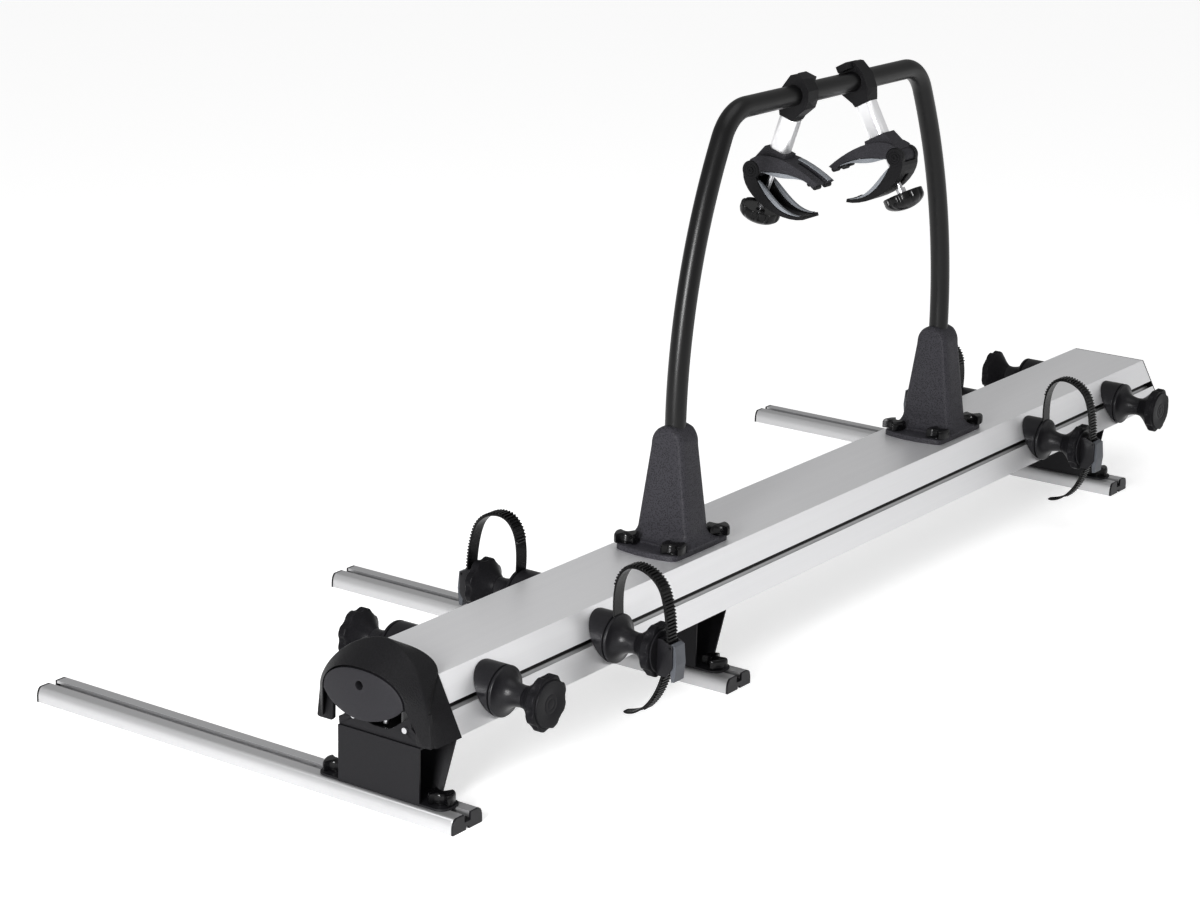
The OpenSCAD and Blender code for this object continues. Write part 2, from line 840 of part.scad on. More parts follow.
module tower(y) {
    bow_r = (tower_half * tower_half + 64) / 16;
    color(plastic)
        difference() {
            union() {
                translate([0, y, beam_top])
                    linear_extrude(tower_plate_t)
                        intersection() {
                            square([2 * tower_half, 2 * tower_reach], center = true);
                            translate([0, tower_reach - bow_r])
                                circle(r = bow_r, $fn = 240);
                            translate([0, bow_r - tower_reach])
                                circle(r = bow_r, $fn = 240);
                        }
                along_y(y - tower_depth, y + tower_depth)
                    tower_front();
                intersection() {
                    along_y(y - tower_reach, y + tower_reach)
                        tower_front();
                    translate([0, y, 0])
                        along_x(-tower_half, tower_half)
                            tower_side();
                }
            }
            translate([0, y, 0])
                for (sx = [-1, 1], sy = [-1, 1]) {
                    rod_z(sx * tower_bolt_x, sy * tower_bolt_y, beam_top + tower_plate_t,
                        beam_top + tower_plate_t + 34, tower_pocket_r);
                    rod_z(sx * tower_bolt_x, sy * tower_bolt_y, beam_top - 1,
                        beam_top + tower_plate_t + 1, bolt_d / 2 + hole_gap);
                }
            rod_z(0, y, tower_socket_z, tower_top + 1, hoop_r + 0.1);
        }
}

module tower_wing_bolts() {
    color(black)
        tower_bolt_places() {
            translate([0, 0, beam_top + tower_plate_t])
                wing_knob();
            rod_z(0, 0, tower_bolt_foot, beam_top + tower_plate_t + 1, bolt_d / 2);
        }
}

// Hoop: each half is an upright foot, a long curve, a short straight and a bend; the bar joins
// them. The straight and the sleeve at the bar's end are a hair wider, which welds the pieces.
module tube_bend(r, a0, a, w) {
    rotate(a0)
        rotate_extrude(angle = a, $fn = 2 * r)
            translate([r, 0])
                circle(r = w, $fn = 96);
}

module hoop_half(w, foot) {
    translate([0, hoop_span / 2, foot])
        cylinder(r = w, h = leg_z - foot);
    translate([0, hoop_span / 2 - leg_r, leg_z])
        rotate([90, 0, 90])
            tube_bend(leg_r, 0, bend_a, w);
    translate([0, hoop_span / 2 - leg_r * (1 - cos(bend_a)), leg_z + leg_r * sin(bend_a)])
        rotate([bend_a, 0, 0])
            translate([0, 0, -weld_lap])
                cylinder(r = w + weld, h = leg_straight + weld_lap + weld_in);
    translate([0, bend_y, bar_z - bend_r])
        rotate([90, 0, 90])
            tube_bend(bend_r, bend_a, 90 - bend_a, w);
    translate([0, bend_y - 2 * weld_lap, bar_z])
        rotate([-90, 0, 0])
            cylinder(r = w + weld, h = 2 * weld_lap + weld_in);
}

module hoop_run(w, foot) {
    hoop_half(w, foot);
    mirror([0, 1, 0])
        hoop_half(w, foot);
    rod_y(0, weld_lap - bend_y, bend_y - weld_lap, bar_z, w);
}

module hoop() {
    color(black)
        translate([0, hoop_y, 0])
            difference() {
                hoop_run(hoop_r, tower_socket_z + 5);
                hoop_run(hoop_r - hoop_wall, tower_socket_z + 4);
            }
}

// Frame grips: the left one opens to the right and leans left, the right one mirrors it
module arm_place(i) {
    translate([0, grip_y[i], bar_z])
        on_side(i == 0 ? 1 : -1)
            rotate([0, grip_tilt[i], 0])
                children();
}

module collar(i) {
    w = collar_w / 2;
    color(plastic)
        arm_place(i)
            difference() {
                union() {
                    along_y(-w, w)
                        polygon(concat(collar_ring, [[-12, -arm_ends[0]]]));
                    block([-12, 7], i == 0 ? [0, w + lug_out / 2] : [-w - lug_out, 0], lug_z);
                    rod_z(0, 0, -stud_ends[0], -arm_ends[0] + 8, stud_d / 2);
                }
                rod_y(0, -w - 25, w + 25, 0, hoop_r + 2 * shaft_gap);
            }
}

module arm_tube(i) {
    color(silver)
        arm_place(i)
            difference() {
                translate([0, 0, -arm_ends[1]])
                    linear_extrude(arm_ends[1] - arm_ends[0] - 0.1)
                        round_box(arm_w, arm_d, 7);
                rod_z(0, 0, -arm_ends[1] - 1, -arm_ends[0] + 1, stud_d / 2 + shaft_gap);
            }
}

// Outlines of the jaws, with the arm's centre line at x = 0 and z down the arm as negative
module upper_jaw_outline() {
    polygon(concat(
        curve([[-pivot_e - 9, -pivot_r + 9], [-22, -90], [35, -86], [87, -100]], 12),
        curve([[80, -109], [62, -98], [20, -108], [11 - pivot_e, 2 - pivot_r]], 12)
    ));
}

module lower_jaw_outline() {
    polygon(concat(
        curve([[-pivot_e - 11, -pivot_r - 8], [-25, -170], [45, -182], [82, -159]], 12),
        curve([[79, -155], [45, -176], [8, -155], [12 - pivot_e, -pivot_r - 7]], 12)
    ));
}

module upper_jaw(i) {
    half = jaw_w / 2;
    color(plastic)
        arm_place(i) {
            difference() {
                union() {
                    difference() {
                        along_y(-half, half)
                            upper_jaw_outline();
                        for (s = [-1, 1])
                            translate([0, s * half, 0])
                                rod_y(-pivot_e, -jaw_cheek - slide_gap, jaw_cheek + slide_gap, -pivot_r,
                                    jaw_boss_r + 0.6);
                        block([36, 100], [-5, 5], [-120, -80]);
                    }
                    rod_y(-pivot_e, slide_gap - jaw_inner, jaw_inner - slide_gap, -pivot_r,
                        jaw_knuckle_r);
                    along_y(slide_gap - jaw_inner, jaw_inner - slide_gap)
                        polygon([
                            [-pivot_e - 9, -pivot_r + 7], [-18, -arm_ends[1]], [18, -arm_ends[1]],
                            [22, -105], [-pivot_e + 8, -pivot_r + 7]
                        ]);
                    rod_z(0, 0, -arm_ends[1] - 2, -stud_ends[1], stud_d / 2);
                }
                rod_z(0, 0, -pivot_r, 0, rod_d / 2 + shaft_gap);
                rod_y(-pivot_e, -half, half, -pivot_r, jaw_pin_d / 2 + shaft_gap);
            }
            rod_y(-pivot_e, -half, half, -pivot_r, jaw_pin_d / 2);
        }
}

module lower_jaw(i) {
    half = jaw_w / 2;
    color(plastic)
        arm_place(i)
            difference() {
                union() {
                    difference() {
                        along_y(-half, half)
                            lower_jaw_outline();
                        along_y(-jaw_inner, jaw_inner)
                            translate([1, 5])
                                lower_jaw_outline();
                        rod_y(-pivot_e, -jaw_inner, jaw_inner, -pivot_r, jaw_boss_r + 0.6);
                    }
                    for (s = [-1, 1])
                        translate([0, s * (half + jaw_inner) / 2, 0])
                            rod_y(-pivot_e, -jaw_cheek / 2, jaw_cheek / 2, -pivot_r, jaw_boss_r);
                }
                block([-20, 6], [-5.5, 5.5], [-180, -135]);
                rod_y(-pivot_e, -half - 1, half + 1, -pivot_r, jaw_pin_d / 2 + shaft_gap);
            }
}

module clamp_rod(i) {
    color(steel)
        arm_place(i) {
            rod_z(0, 0, -knob_top_r - grip_knob_h + 7, -rod_top, rod_d / 2);
            rod_z(0, 0, -rod_collar[1], -rod_collar[0], rod_collar_r);
        }
}

module clamp_knob(i) {
    r = grip_knob_d / 2;
    rim = -knob_straight;
    dome = arc([0, rim], [r, grip_knob_h - knob_straight], 0, -90, 16);
    color(black)
        arm_place(i)
            translate([0, 0, -knob_top_r])
                difference() {
                    rotate_extrude()
                        polygon(concat([[0, 0], [r - 1, 0], [r, -1]], dome));
                    rod_z(0, 0, 6 - grip_knob_h, 1, rod_d / 2 + shaft_gap);
                }
}

// Wheel cradles: local x is the distance from the beam's middle, local z is up from the axis
module cradle_place(side, y) {
    translate([0, y, slot_z])
        on_side(side)
            children();
}

module turned(points) {
    rotate([0, 90, 0])
        rotate_extrude()
            polygon(points);
}

// Everything outside the beam's slanted side, as far as x = 200
module outside_of_side(gap) {
    translate([slot_x + gap / cos(beam_slant), 0, 0])
        rotate([0, -beam_slant, 0])
            block([0, 200], [-80, 80], [-80, 80]);
}

module t_bolt(x_end) {
    translate([slot_x, 0, 0])
        rotate([0, 90 - beam_slant, 0]) {
            translate([0, 0, -beam_wall - 0.2 - t_nut[2] / 2])
                cube([t_nut[0], t_nut[1], t_nut[2]], center = true);
            rod_z(0, 0, -beam_wall - 1, 6, stud_r);
        }
    rod_x(slot_x + 3, x_end, 0, 0, stud_r);
}

module cradle_shell(with_strap) {
    waist = curve([
        [ring_r - 1, ring_x], [ring_r - 13, ring_x + 3], [waist_r + 1, ring_x + 12],
        [waist_r, ring_x + 27]
    ], 8);
    difference() {
        union() {
            intersection() {
                rod_x(slot_x - 30, ring_x - 1, 0, 0, ring_r);
                outside_of_side(pad_gap);
            }
            turned(concat([[0, ring_x - 2], [ring_r - 1, ring_x - 2]], waist,
                [[waist_r + 0.7, seam_x], [0, seam_x]]));
        }
        rod_x(slot_x - 10, seam_x + 1, 0, 0, stud_r + shaft_gap);
        rod_x(slot_x - 15, slot_x + 9, 0, 0, stud_well_r);
        if (with_strap)
            block([pocket_x, pocket_x + pocket[0]], [-pocket[1] / 2, pocket[1] / 2],
                [ring_r - pocket[2], ring_r + 1]);
        else
            block([pocket_x, pocket_x + pocket[0]], [-ring_r - 1, pocket[2] - ring_r],
                [-pocket[1] / 2 - 4, pocket[1] / 2 - 4]);
    }
}

// Buckle frame: a round foot on the spindle's end and two cheeks that guide strap and lever
module buckle_frame() {
    foot_x = lobe_x + slide_gap;
    back_x = strap_in_x - strap_t / 2 - 3.5;
    front_x = lever_pin[0] + 3.5;
    y = buckle_y + cheek_t;
    cheek = [
        [foot_x, buckle_z[0] + 2], [foot_x, buckle_z[1]], [foot_x + 8, buckle_z[1]],
        [front_x, buckle_z[1] - 7], [front_x, buckle_z[0] + 12], [foot_x + 16, buckle_z[0]]
    ];
    difference() {
        union() {
            rod_x(foot_x, foot_x + disc_t, 0, 0, disc_r);
            along_y(-y, y)
                polygon(cheek);
        }
        along_y(-buckle_y, buckle_y)
            polygon([
                [back_x, buckle_z[1] + 1], [front_x + 1, buckle_z[1] + 1],
                [front_x + 1, buckle_z[0] - 1], [back_x - 5, buckle_z[0] - 1], [back_x, buckle_z[0] + 19]
            ]);
        rod_x(lobe_x - 1, strap_in_x - 5.2, 0, 0, stud_r + shaft_gap);
        rod_y(lever_pin[0], -y - 1, y + 1, lever_pin[1], lever_pin_r + shaft_gap);
    }
}

module cradle(side, y, with_strap) {
    color(plastic)
        cradle_place(side, y) {
            cradle_shell(with_strap);
            t_bolt(with_strap ? strap_in_x - 5.5 : lobe_x - 8);
            if (with_strap)
                buckle_frame();
        }
}

module knob(side, y, with_strap) {
    trumpet = curve([
        [waist_r + 0.7, seam_x + slide_gap], [waist_r + 1.5, seam_x + 4], [22, seam_x + 12],
        [lobe_r - 2, trumpet_x + 1]
    ], 6);
    color(plastic)
        cradle_place(side, y)
            difference() {
                union() {
                    turned(concat([[0, seam_x + slide_gap]], trumpet, [[0, trumpet_x + 1]]));
                    difference() {
                        rod_x(trumpet_x, lobe_x, 0, 0, lobe_r);
                        for (k = [0:lobe_count - 1])
                            rotate([k * 360 / lobe_count, 0, 0])
                                rod_x(trumpet_x - 1, lobe_x + 1, lobe_cut_at, 0, lobe_cut_r);
                    }
                    if (!with_strap)
                        rod_x(lobe_x - 1, lobe_x + disc_t, 0, 0, disc_r);
                }
                rod_x(seam_x, with_strap ? lobe_x + 1 : lobe_x - 7.8, 0, 0, stud_r + shaft_gap);
            }
}

// Straps: the middle line of the band, in x from the beam's middle and z from the cradle's axis
strap_root_z = ring_r - pocket[2] + 0.4;
strap_line = [
    [[strap_root_x, strap_root_z], [strap_root_x - 2.5, 53], [strap_root_x - 3.5, 91], [124, 104]],
    [[124, 104], [139, 112.5], [163, 105], [175, 88]],
    [[175, 88], [184, 75], [strap_in_x, 40], [strap_in_x, 16]],
    [[strap_in_x, 16], [strap_in_x, -37], [165, -97], [120, -98.5]]
];
function strap_steps(k) = round(norm(strap_line[k][3] - strap_line[k][0]) * 1.06 / tooth_pitch) * 2;
function strap_points() = [
    for (k = [0:3]) for (i = [0:strap_steps(k) - 1]) curve_at(strap_line[k], i / strap_steps(k)),
    strap_line[3][3]
];

module strap_outline() {
    line = strap_points();
    n = len(line) - 1;
    smooth = strap_steps(0) - 6;
    function across(i) = let (
        d = line[min(n, i + 1)] - line[max(0, i - 1)]
    ) [-d[1], d[0]] / norm(d);
    function tooth(i) = i > smooth && i < n - 6 && i % 2 == 0 ? tooth_h : 0;
    polygon(concat(
        [for (i = [0:n]) line[i] + across(i) * (strap_t / 2 + tooth(i))],
        [for (i = [n:-1:0]) line[i] - across(i) * strap_t / 2]
    ));
}

module strap(side, y) {
    color(black)
        cradle_place(side, y)
            along_y(-strap_w / 2, strap_w / 2)
                strap_outline();
}

module lever(side, y) {
    half = strap_w / 2;
    outline = [
        [lever_pin[0] - 1.5, lever_pin[1]], [lever_pin[0] - 1, -20], [lever_pin[0] + 1, lever_foot],
        [lever_pin[0] + 6, lever_foot + 1], [lever_pin[0] + 8.5, -12], [lever_pin[0] + 6, lever_pin[1] + 2],
        [lever_pin[0], lever_pin[1] + lever_head_r]
    ];
    color(grey)
        cradle_place(side, y) {
            along_y(-half, half) {
                polygon(outline);
                translate(lever_pin)
                    circle(r = lever_head_r);
            }
            rod_y(lever_pin[0], -buckle_y - cheek_t, buckle_y + cheek_t, lever_pin[1], lever_pin_r);
        }
}

rail(rail_y[0]);  // rail_near
rail(rail_y[1]);  // rail_middle
rail(rail_y[2]);  // rail_far
rail_end_caps();
bracket(rail_y[0]);  // bracket_near
bracket(rail_y[1]);  // bracket_middle
bracket(rail_y[2]);  // bracket_far
bracket_bolts();
bracket_knobs();
inner_rail();
guide_end_plate();
guide_screws();
roller_pair(axle_y[0]);  // roller_pair_near
roller_pair(axle_y[1]);  // roller_pair_middle
roller_axles();
beam();
near_cap();
release_handle();
latch_bolt();
far_cover();
tower(tower_y[0]);  // tower_near
tower(tower_y[1]);  // tower_far
tower_wing_bolts();
hoop();
collar(0);  // collar_left
arm_tube(0);  // arm_tube_left
upper_jaw(0);  // upper_jaw_left
lower_jaw(0);  // lower_jaw_left
clamp_rod(0);  // clamp_rod_left
clamp_knob(0);  // clamp_knob_left
collar(1);  // collar_right
arm_tube(1);  // arm_tube_right
upper_jaw(1);  // upper_jaw_right
lower_jaw(1);  // lower_jaw_right
clamp_rod(1);  // clamp_rod_right
clamp_knob(1);  // clamp_knob_right
cradle(1, right_y[0], false);  // cradle_right_1
cradle(1, right_y[1], true);  // cradle_right_2
cradle(1, right_y[2], true);  // cradle_right_3
cradle(1, right_y[3], false);  // cradle_right_4
cradle(-1, left_y[0], false);  // cradle_left_1
cradle(-1, left_y[1], true);  // cradle_left_2
cradle(-1, left_y[2], true);  // cradle_left_3
cradle(-1, left_y[3], false);  // cradle_left_4
knob(1, right_y[0], false);  // knob_right_1
knob(1, right_y[1], true);  // knob_right_2
knob(1, right_y[2], true);  // knob_right_3
knob(1, right_y[3], false);  // knob_right_4
knob(-1, left_y[0], false);  // knob_left_1
knob(-1, left_y[1], true);  // knob_left_2
knob(-1, left_y[2], true);  // knob_left_3
knob(-1, left_y[3], false);  // knob_left_4
strap(1, right_y[1]);  // strap_right_2
strap(1, right_y[2]);  // strap_right_3
strap(-1, left_y[1]);  // strap_left_2
strap(-1, left_y[2]);  // strap_left_3
lever(1, right_y[1]);  // lever_right_2
lever(1, right_y[2]);  // lever_right_3
lever(-1, left_y[1]);  // lever_left_2
lever(-1, left_y[2]);  // lever_left_3
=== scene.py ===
from collections import namedtuple
import math
import bmesh
import bpy
import numpy as np
from mathutils import Matrix, Vector


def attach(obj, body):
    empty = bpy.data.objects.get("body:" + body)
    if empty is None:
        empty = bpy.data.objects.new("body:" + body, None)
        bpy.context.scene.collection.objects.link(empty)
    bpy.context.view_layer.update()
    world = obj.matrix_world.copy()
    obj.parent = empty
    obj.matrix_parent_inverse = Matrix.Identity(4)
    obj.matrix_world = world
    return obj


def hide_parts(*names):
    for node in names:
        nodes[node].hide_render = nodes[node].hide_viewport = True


MM = 0.001
scene = bpy.context.scene

# Camera: place in metres, then compass angle, elevation and roll in degrees
CAMERA_PLACE = (2.19602, -2.66089, 1.49115)
CAMERA_ANGLES = (35.253, 16.489, 1.28)
CAMERA_LENS = 88.235


def look(position, azimuth, elevation, roll, lens):
    """Camera at a place, looking at a compass angle and down at an elevation, turned about its own axis."""
    a, e, r = (math.radians(v) for v in (azimuth, elevation, roll))
    ahead = np.array([-math.sin(a) * math.cos(e), math.cos(a) * math.cos(e), -math.sin(e)])
    right = np.cross(ahead, [0, 0, 1])
    right /= np.linalg.norm(right)
    up = np.cross(right, ahead)
    side = math.cos(r) * right + math.sin(r) * up
    top = -math.sin(r) * right + math.cos(r) * up
    data = bpy.data.cameras.new("camera")
    data.sensor_width = 36
    data.lens = lens
    data.clip_end = 100
    camera = bpy.data.objects.new("camera", data)
    turn = Matrix([list(v) for v in zip(side, top, -ahead)]).to_4x4()
    camera.matrix_world = Matrix.Translation(position) @ turn
    scene.collection.objects.link(camera)
    scene.camera = camera


look(CAMERA_PLACE, *CAMERA_ANGLES, CAMERA_LENS)
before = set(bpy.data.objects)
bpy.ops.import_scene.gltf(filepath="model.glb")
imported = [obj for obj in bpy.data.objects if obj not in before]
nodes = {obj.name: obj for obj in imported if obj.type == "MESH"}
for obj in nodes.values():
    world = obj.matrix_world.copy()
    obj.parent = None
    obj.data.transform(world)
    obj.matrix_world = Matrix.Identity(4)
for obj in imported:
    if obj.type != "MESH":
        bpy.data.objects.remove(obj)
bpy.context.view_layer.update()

# Sizes in millimetres that several pieces share, as in the part's source
BEAM_TOP = 185.8
BEAM_EDGE = 66.1                      # half of the beam's top, at its skin
BEAM_LEAN = math.radians(28.4)        # of its sides
SLOT_DOWN = 43.8                      # from the top edge down a side to the slot's middle
SLOT_Z = 147.27                       # the same place above the floor
RAIL_Y = (0, 617.5, 1817.5)
HOOP_Y = 1001.0                       # middle of the hoop
FOOT_Y = 373.5                        # half of the distance between its legs
BAR_Z = 789.0                         # middle of its top bar
CRADLE_Y = {"right": (101, 348, 1567, 1854), "left": (143, 412, 1655, 1902)}
STRAPPED = (2, 3)                     # cradles with a strap and its buckle
FLIP = {"right": 1, "left": -1}
CLEAR = 99.0                          # further from a piece's middle than its outline reaches


# Shader maths
def operator(operation, swapped=False):
    """A method of Wire that adds one Math node; swapped makes the reflected form, as in 1 - mask."""
    def act(self, other):
        pair = (other, self) if swapped else (self, other)
        return self.paint.node("ShaderNodeMath", {"operation": operation}, dict(enumerate(pair)))
    return act


class Wire:
    """A shader socket that takes part in sums."""

    def __init__(self, paint, socket):
        self.paint = paint
        self.socket = socket

    __add__ = operator("ADD")
    __radd__ = operator("ADD", swapped=True)
    __sub__ = operator("SUBTRACT")
    __rsub__ = operator("SUBTRACT", swapped=True)
    __mul__ = operator("MULTIPLY")
    __rmul__ = operator("MULTIPLY", swapped=True)
    at_least = operator("MAXIMUM")

    def size(self):
        return self.paint.node("ShaderNodeMath", {"operation": "ABSOLUTE"}, {0: self})


class Paint:
    """A material's node tree, with one method that adds any node."""

    def __init__(self, name, tree=None):
        if tree is None:
            self.material = bpy.data.materials.new(name)
            self.material.use_nodes = True
            tree = self.material.node_tree
        self.tree = tree
        self.shader = next((n for n in tree.nodes if n.type == "BSDF_PRINCIPLED"), None)

    def node(self, kind, settings=None, values=None, out=0):
        n = self.tree.nodes.new(kind)
        for key, value in (settings or {}).items():
            setattr(n, key, value)
        self.feed(n, values or {})
        return Wire(self, n.outputs[out])

    def feed(self, n, values):
        for key, value in values.items():
            if isinstance(value, Wire):
                self.tree.links.new(value.socket, n.inputs[key])
            else:
                n.inputs[key].default_value = value

    def set(self, **values):
        self.feed(self.shader, {k.replace("_", " "): v for k, v in values.items()})

    def axes(self):
        """The three object coordinates, in metres."""
        where = self.node("ShaderNodeTexCoord", out=3)
        split = self.node("ShaderNodeSeparateXYZ", {}, {"Vector": where})
        return [Wire(self, socket) for socket in split.socket.node.outputs]

    def place(self, scale=(1, 1, 1)):
        """Object coordinates, stretched by a Mapping node."""
        where = self.node("ShaderNodeTexCoord", out=3)
        return self.node("ShaderNodeMapping", {}, {"Vector": where, "Scale": scale})

    def noise(self, scale, stretch=(1, 1, 1), detail=3.0):
        return self.node("ShaderNodeTexNoise", {}, {
            "Vector": self.place(stretch), "Scale": scale, "Detail": detail})

    def cells(self, scale):
        return self.node("ShaderNodeTexVoronoi", {}, {"Vector": self.place(), "Scale": scale})

    def mix(self, amount, first, second):
        return self.node("ShaderNodeMix", {"data_type": "RGBA"}, {0: amount, 6: first, 7: second}, out=2)

    def ease(self, value, low, high, to_low=0.0, to_high=1.0):
        """A smooth step: to_low below low, to_high above high."""
        return self.node("ShaderNodeMapRange", {"interpolation_type": "SMOOTHSTEP"}, {
            "Value": value, "From Min": low, "From Max": high, "To Min": to_low, "To Max": to_high})

    def bump(self, height, depth, strength):
        self.set(Normal=self.node("ShaderNodeBump", {}, {
            "Height": height, "Distance": depth, "Strength": strength}))


NEUTRAL = (1, 1, 1)
COOL_BLACK = (1.03, 1.0, 1.16)


def shade(value, tint=COOL_BLACK):
    return tuple(value * t for t in tint) + (1,)


# Finishes
def painted_slot_shade(p):
    """Painted shade: one inside the beam's side slots, fading to a quarter over their lower lip, which is
    left lit, and zero elsewhere.

    out is how far a point stands out of the side's plane or the top, and down is its way down the side.
    """
    x, _, z = p.axes()
    across = x.size() - BEAM_EDGE * MM
    up = z - BEAM_TOP * MM
    out = (across * math.cos(BEAM_LEAN) + up * math.sin(BEAM_LEAN)).at_least(up)
    down = across * math.sin(BEAM_LEAN) + up * -math.cos(BEAM_LEAN)
    under_skin = p.ease(out, -2.2 * MM, -1.0 * MM, 1, 0)
    over_lip = p.ease(down, 43.3 * MM, 45.5 * MM, 1, 0.25)
    in_chamber = p.ease((down - SLOT_DOWN * MM).size(), 8.8 * MM, 9.6 * MM, 1, 0)
    return under_skin * over_lip * in_chamber


def anodised(name, along, value, rough, shade_slots=False):
    """Satin anodised extrusion: faint die lines run along one axis, and the tone drifts over the length.

    On the slotted beam, shade is painted into the side slots as near-black colour.
    """
    p = Paint(name)
    fine = [700.0, 700.0, 700.0]
    fine[along] = 2.0
    broad = [60.0, 60.0, 60.0]
    broad[along] = 0.7
    lines = p.noise(1.0, fine, 2.0)
    bands = p.noise(1.0, broad, 2.0)
    cloud = p.noise(3.0, detail=2.0)
    tone = (lines - 0.5) * 0.07 + (bands - 0.5) * 0.10 + (cloud - 0.5) * 0.05
    face = p.mix(p.ease(tone, -0.09, 0.09), shade(value * 0.93, (1, 1, 1.015)), shade(value, (1, 1, 1.01)))
    if shade_slots:
        # painted shade: the slots' chambers are coloured near black where shade falls
        face = p.mix(painted_slot_shade(p), face, shade(0.03, NEUTRAL))
    p.set(Base_Color=face, Metallic=0.8,
          Roughness=p.ease(tone, -0.09, 0.09, rough + 0.04, rough - 0.03))
    p.bump(lines, 0.00003, 0.35)
    return p.material


def grained(name, value, rough, grain=900.0, depth=0.00008, top_highlight=0.35, tint=COOL_BLACK, sheen=0.22):
    """Moulded plastic: a leathery grain whose tops are coloured lighter as a painted highlight, and worn
    smoother in patches.
    """
    p = Paint(name)
    pits = p.cells(grain)
    fuzz = p.noise(grain * 1.7, detail=2.0)
    wear = p.noise(22.0)
    tops = p.ease(pits + (fuzz - 0.5) * 0.5, 0.15, 0.75)
    # painted highlight on the grain's tops, plus a patchy drift in tone from the wear
    light = tops * top_highlight + (wear - 0.5) * 0.25
    p.set(Base_Color=p.mix(light, shade(value * 0.8, tint), shade(value * 1.9, tint)),
          Roughness=p.ease(wear, 0.3, 0.7, rough - 0.04, rough + 0.05))
    p.bump(tops, depth, 0.6)
    p.set(Specular_IOR_Level=sheen)
    return p.material


def powder(name, value, rough, sheen=0.22):
    """Powder coat: fine orange peel with sparse lighter specks."""
    p = Paint(name)
    peel = p.noise(1300.0, detail=2.0)
    dots = p.noise(2600.0, detail=1.0)
    cloud = p.noise(9.0, detail=2.0)
    light = p.ease(dots, 0.56, 0.72) * 0.5 + (cloud - 0.5) * 0.2
    p.set(Base_Color=p.mix(light, shade(value), shade(value * 3.0)),
          Roughness=p.ease(cloud, 0.3, 0.7, rough - 0.03, rough + 0.04))
    p.bump(peel, 0.00006, 0.6)
    p.set(Specular_IOR_Level=sheen)
    return p.material


def satin(name, value, rough, tint=COOL_BLACK):
    """Smooth moulded plastic with fine haze and a few handling marks."""
    p = Paint(name)
    haze = p.noise(35.0, detail=4.0)
    marks = p.noise(1.0, (900.0, 60.0, 240.0), 2.0)
    worn = haze + (marks - 0.5) * 0.3
    p.set(Base_Color=p.mix(p.ease(haze, 0.3, 0.7), shade(value * 0.85, tint), shade(value * 1.2, tint)),
          Roughness=p.ease(worn, 0.3, 0.7, rough - 0.05, rough + 0.05))
    p.bump(marks, 0.00001, 0.4)
    p.set(Specular_IOR_Level=0.3)
    return p.material


def plated_steel(name, value, rough):
    """Zinc plated steel with a fine tooth and a slightly cloudy plating."""
    p = Paint(name)
    tooth = p.noise(1.0, (900.0, 900.0, 900.0), 2.0)
    cloud = p.noise(60.0)
    p.set(Base_Color=p.mix(p.ease(cloud, 0.3, 0.7), shade(value * 0.85, (1, 1, 1.02)),
                           shade(value, (1, 1, 1.03))),
          Metallic=1.0, Roughness=p.ease(cloud, 0.3, 0.7, rough - 0.05, rough + 0.08))
    p.bump(tooth, 0.00001, 0.3)
    return p.material


rail_metal = anodised("anodised_rail", 0, 0.6, 0.38)
beam_metal = anodised("anodised_beam", 1, 0.96, 0.42, shade_slots=True)
guide_metal = anodised("anodised_guide", 1, 0.09, 0.4)
arm_metal = anodised("anodised_arm", 2, 0.95, 0.34)
plate_coat = powder("bracket_powder_coat", 0.009, 0.46)
hoop_coat = powder("hoop_powder_coat", 0.0015, 0.33, sheen=0.4)
hood_plastic = grained("hood_plastic", 0.004, 0.44, 620.0, 0.00025, 1.4)
panel_plastic = grained("panel_plastic", 0.017, 0.48, 1400.0, 0.00005)
tower_plastic = grained("tower_plastic", 0.022, 0.42, 480.0, 0.0003, 1.6, sheen=0.16)
body_plastic = grained("clamp_plastic", 0.006, 0.46, 1300.0, 0.00005)
speckled_plastic = grained("speckled_cheek_plastic", 0.022, 0.55, 700.0, 0.0001, 0.8)
cradle_rubber = grained("cradle_rubber", 0.009, 0.34, 900.0, 0.00006, 0.6, sheen=0.25)
lobe_rubber = grained("lobe_rubber", 0.008, 0.38, 900.0, 0.00006, 0.6, sheen=0.1)
cap_plastic = satin("end_cap_plastic", 0.012, 0.36)
knob_plastic = satin("knob_plastic", 0.003, 0.24)
strap_rubber = satin("strap_rubber", 0.002, 0.27)
lever_plastic = satin("lever_plastic", 0.085, 0.42, (0.92, 0.98, 1.10))
pad_rubber = grained("soft_pad_rubber", 0.24, 0.6, 1500.0, 0.00004, 0.25, (0.93, 0.98, 1.06))
zinc = plated_steel("zinc_plated_steel", 0.62, 0.3)

# Finish of each CAD node and the width of its softened edges, by the start of its name, first match
node_looks = {
    "rail_end_caps": (cap_plastic, 0.6),
    "rail_": (rail_metal, 0.4),
    "bracket_bolts": (zinc, 0.5),
    "bracket_knobs": (knob_plastic, 0),
    "bracket_": (plate_coat, 0.5),
    "inner_rail": (guide_metal, 0),
    "guide_end_plate": (plate_coat, 0.5),
    "guide_screws": (zinc, 0),
    "roller_axles": (zinc, 0),
    "beam": (beam_metal, 0),
    "near_cap": (hood_plastic, 0),
    "far_cover": (body_plastic, 0.5),
    "release_handle": (panel_plastic, 1.0),
    "latch_bolt": (zinc, 0),
    "tower_wing_bolts": (knob_plastic, 0),
    "tower_": (tower_plastic, 0),
    "hoop": (hoop_coat, 0),
    "collar": (body_plastic, 0.8),
    "arm_tube": (arm_metal, 0.4),
    "upper_jaw": (speckled_plastic, 1.2),
    "lower_jaw": (body_plastic, 0.8),
    "clamp_rod": (zinc, 0),
    "clamp_knob": (knob_plastic, 0),
    "cradle": (cradle_rubber, 0),
    "knob": (cradle_rubber, 0),
    "strap": (strap_rubber, 0),
    "lever": (lever_plastic, 0.8),
}


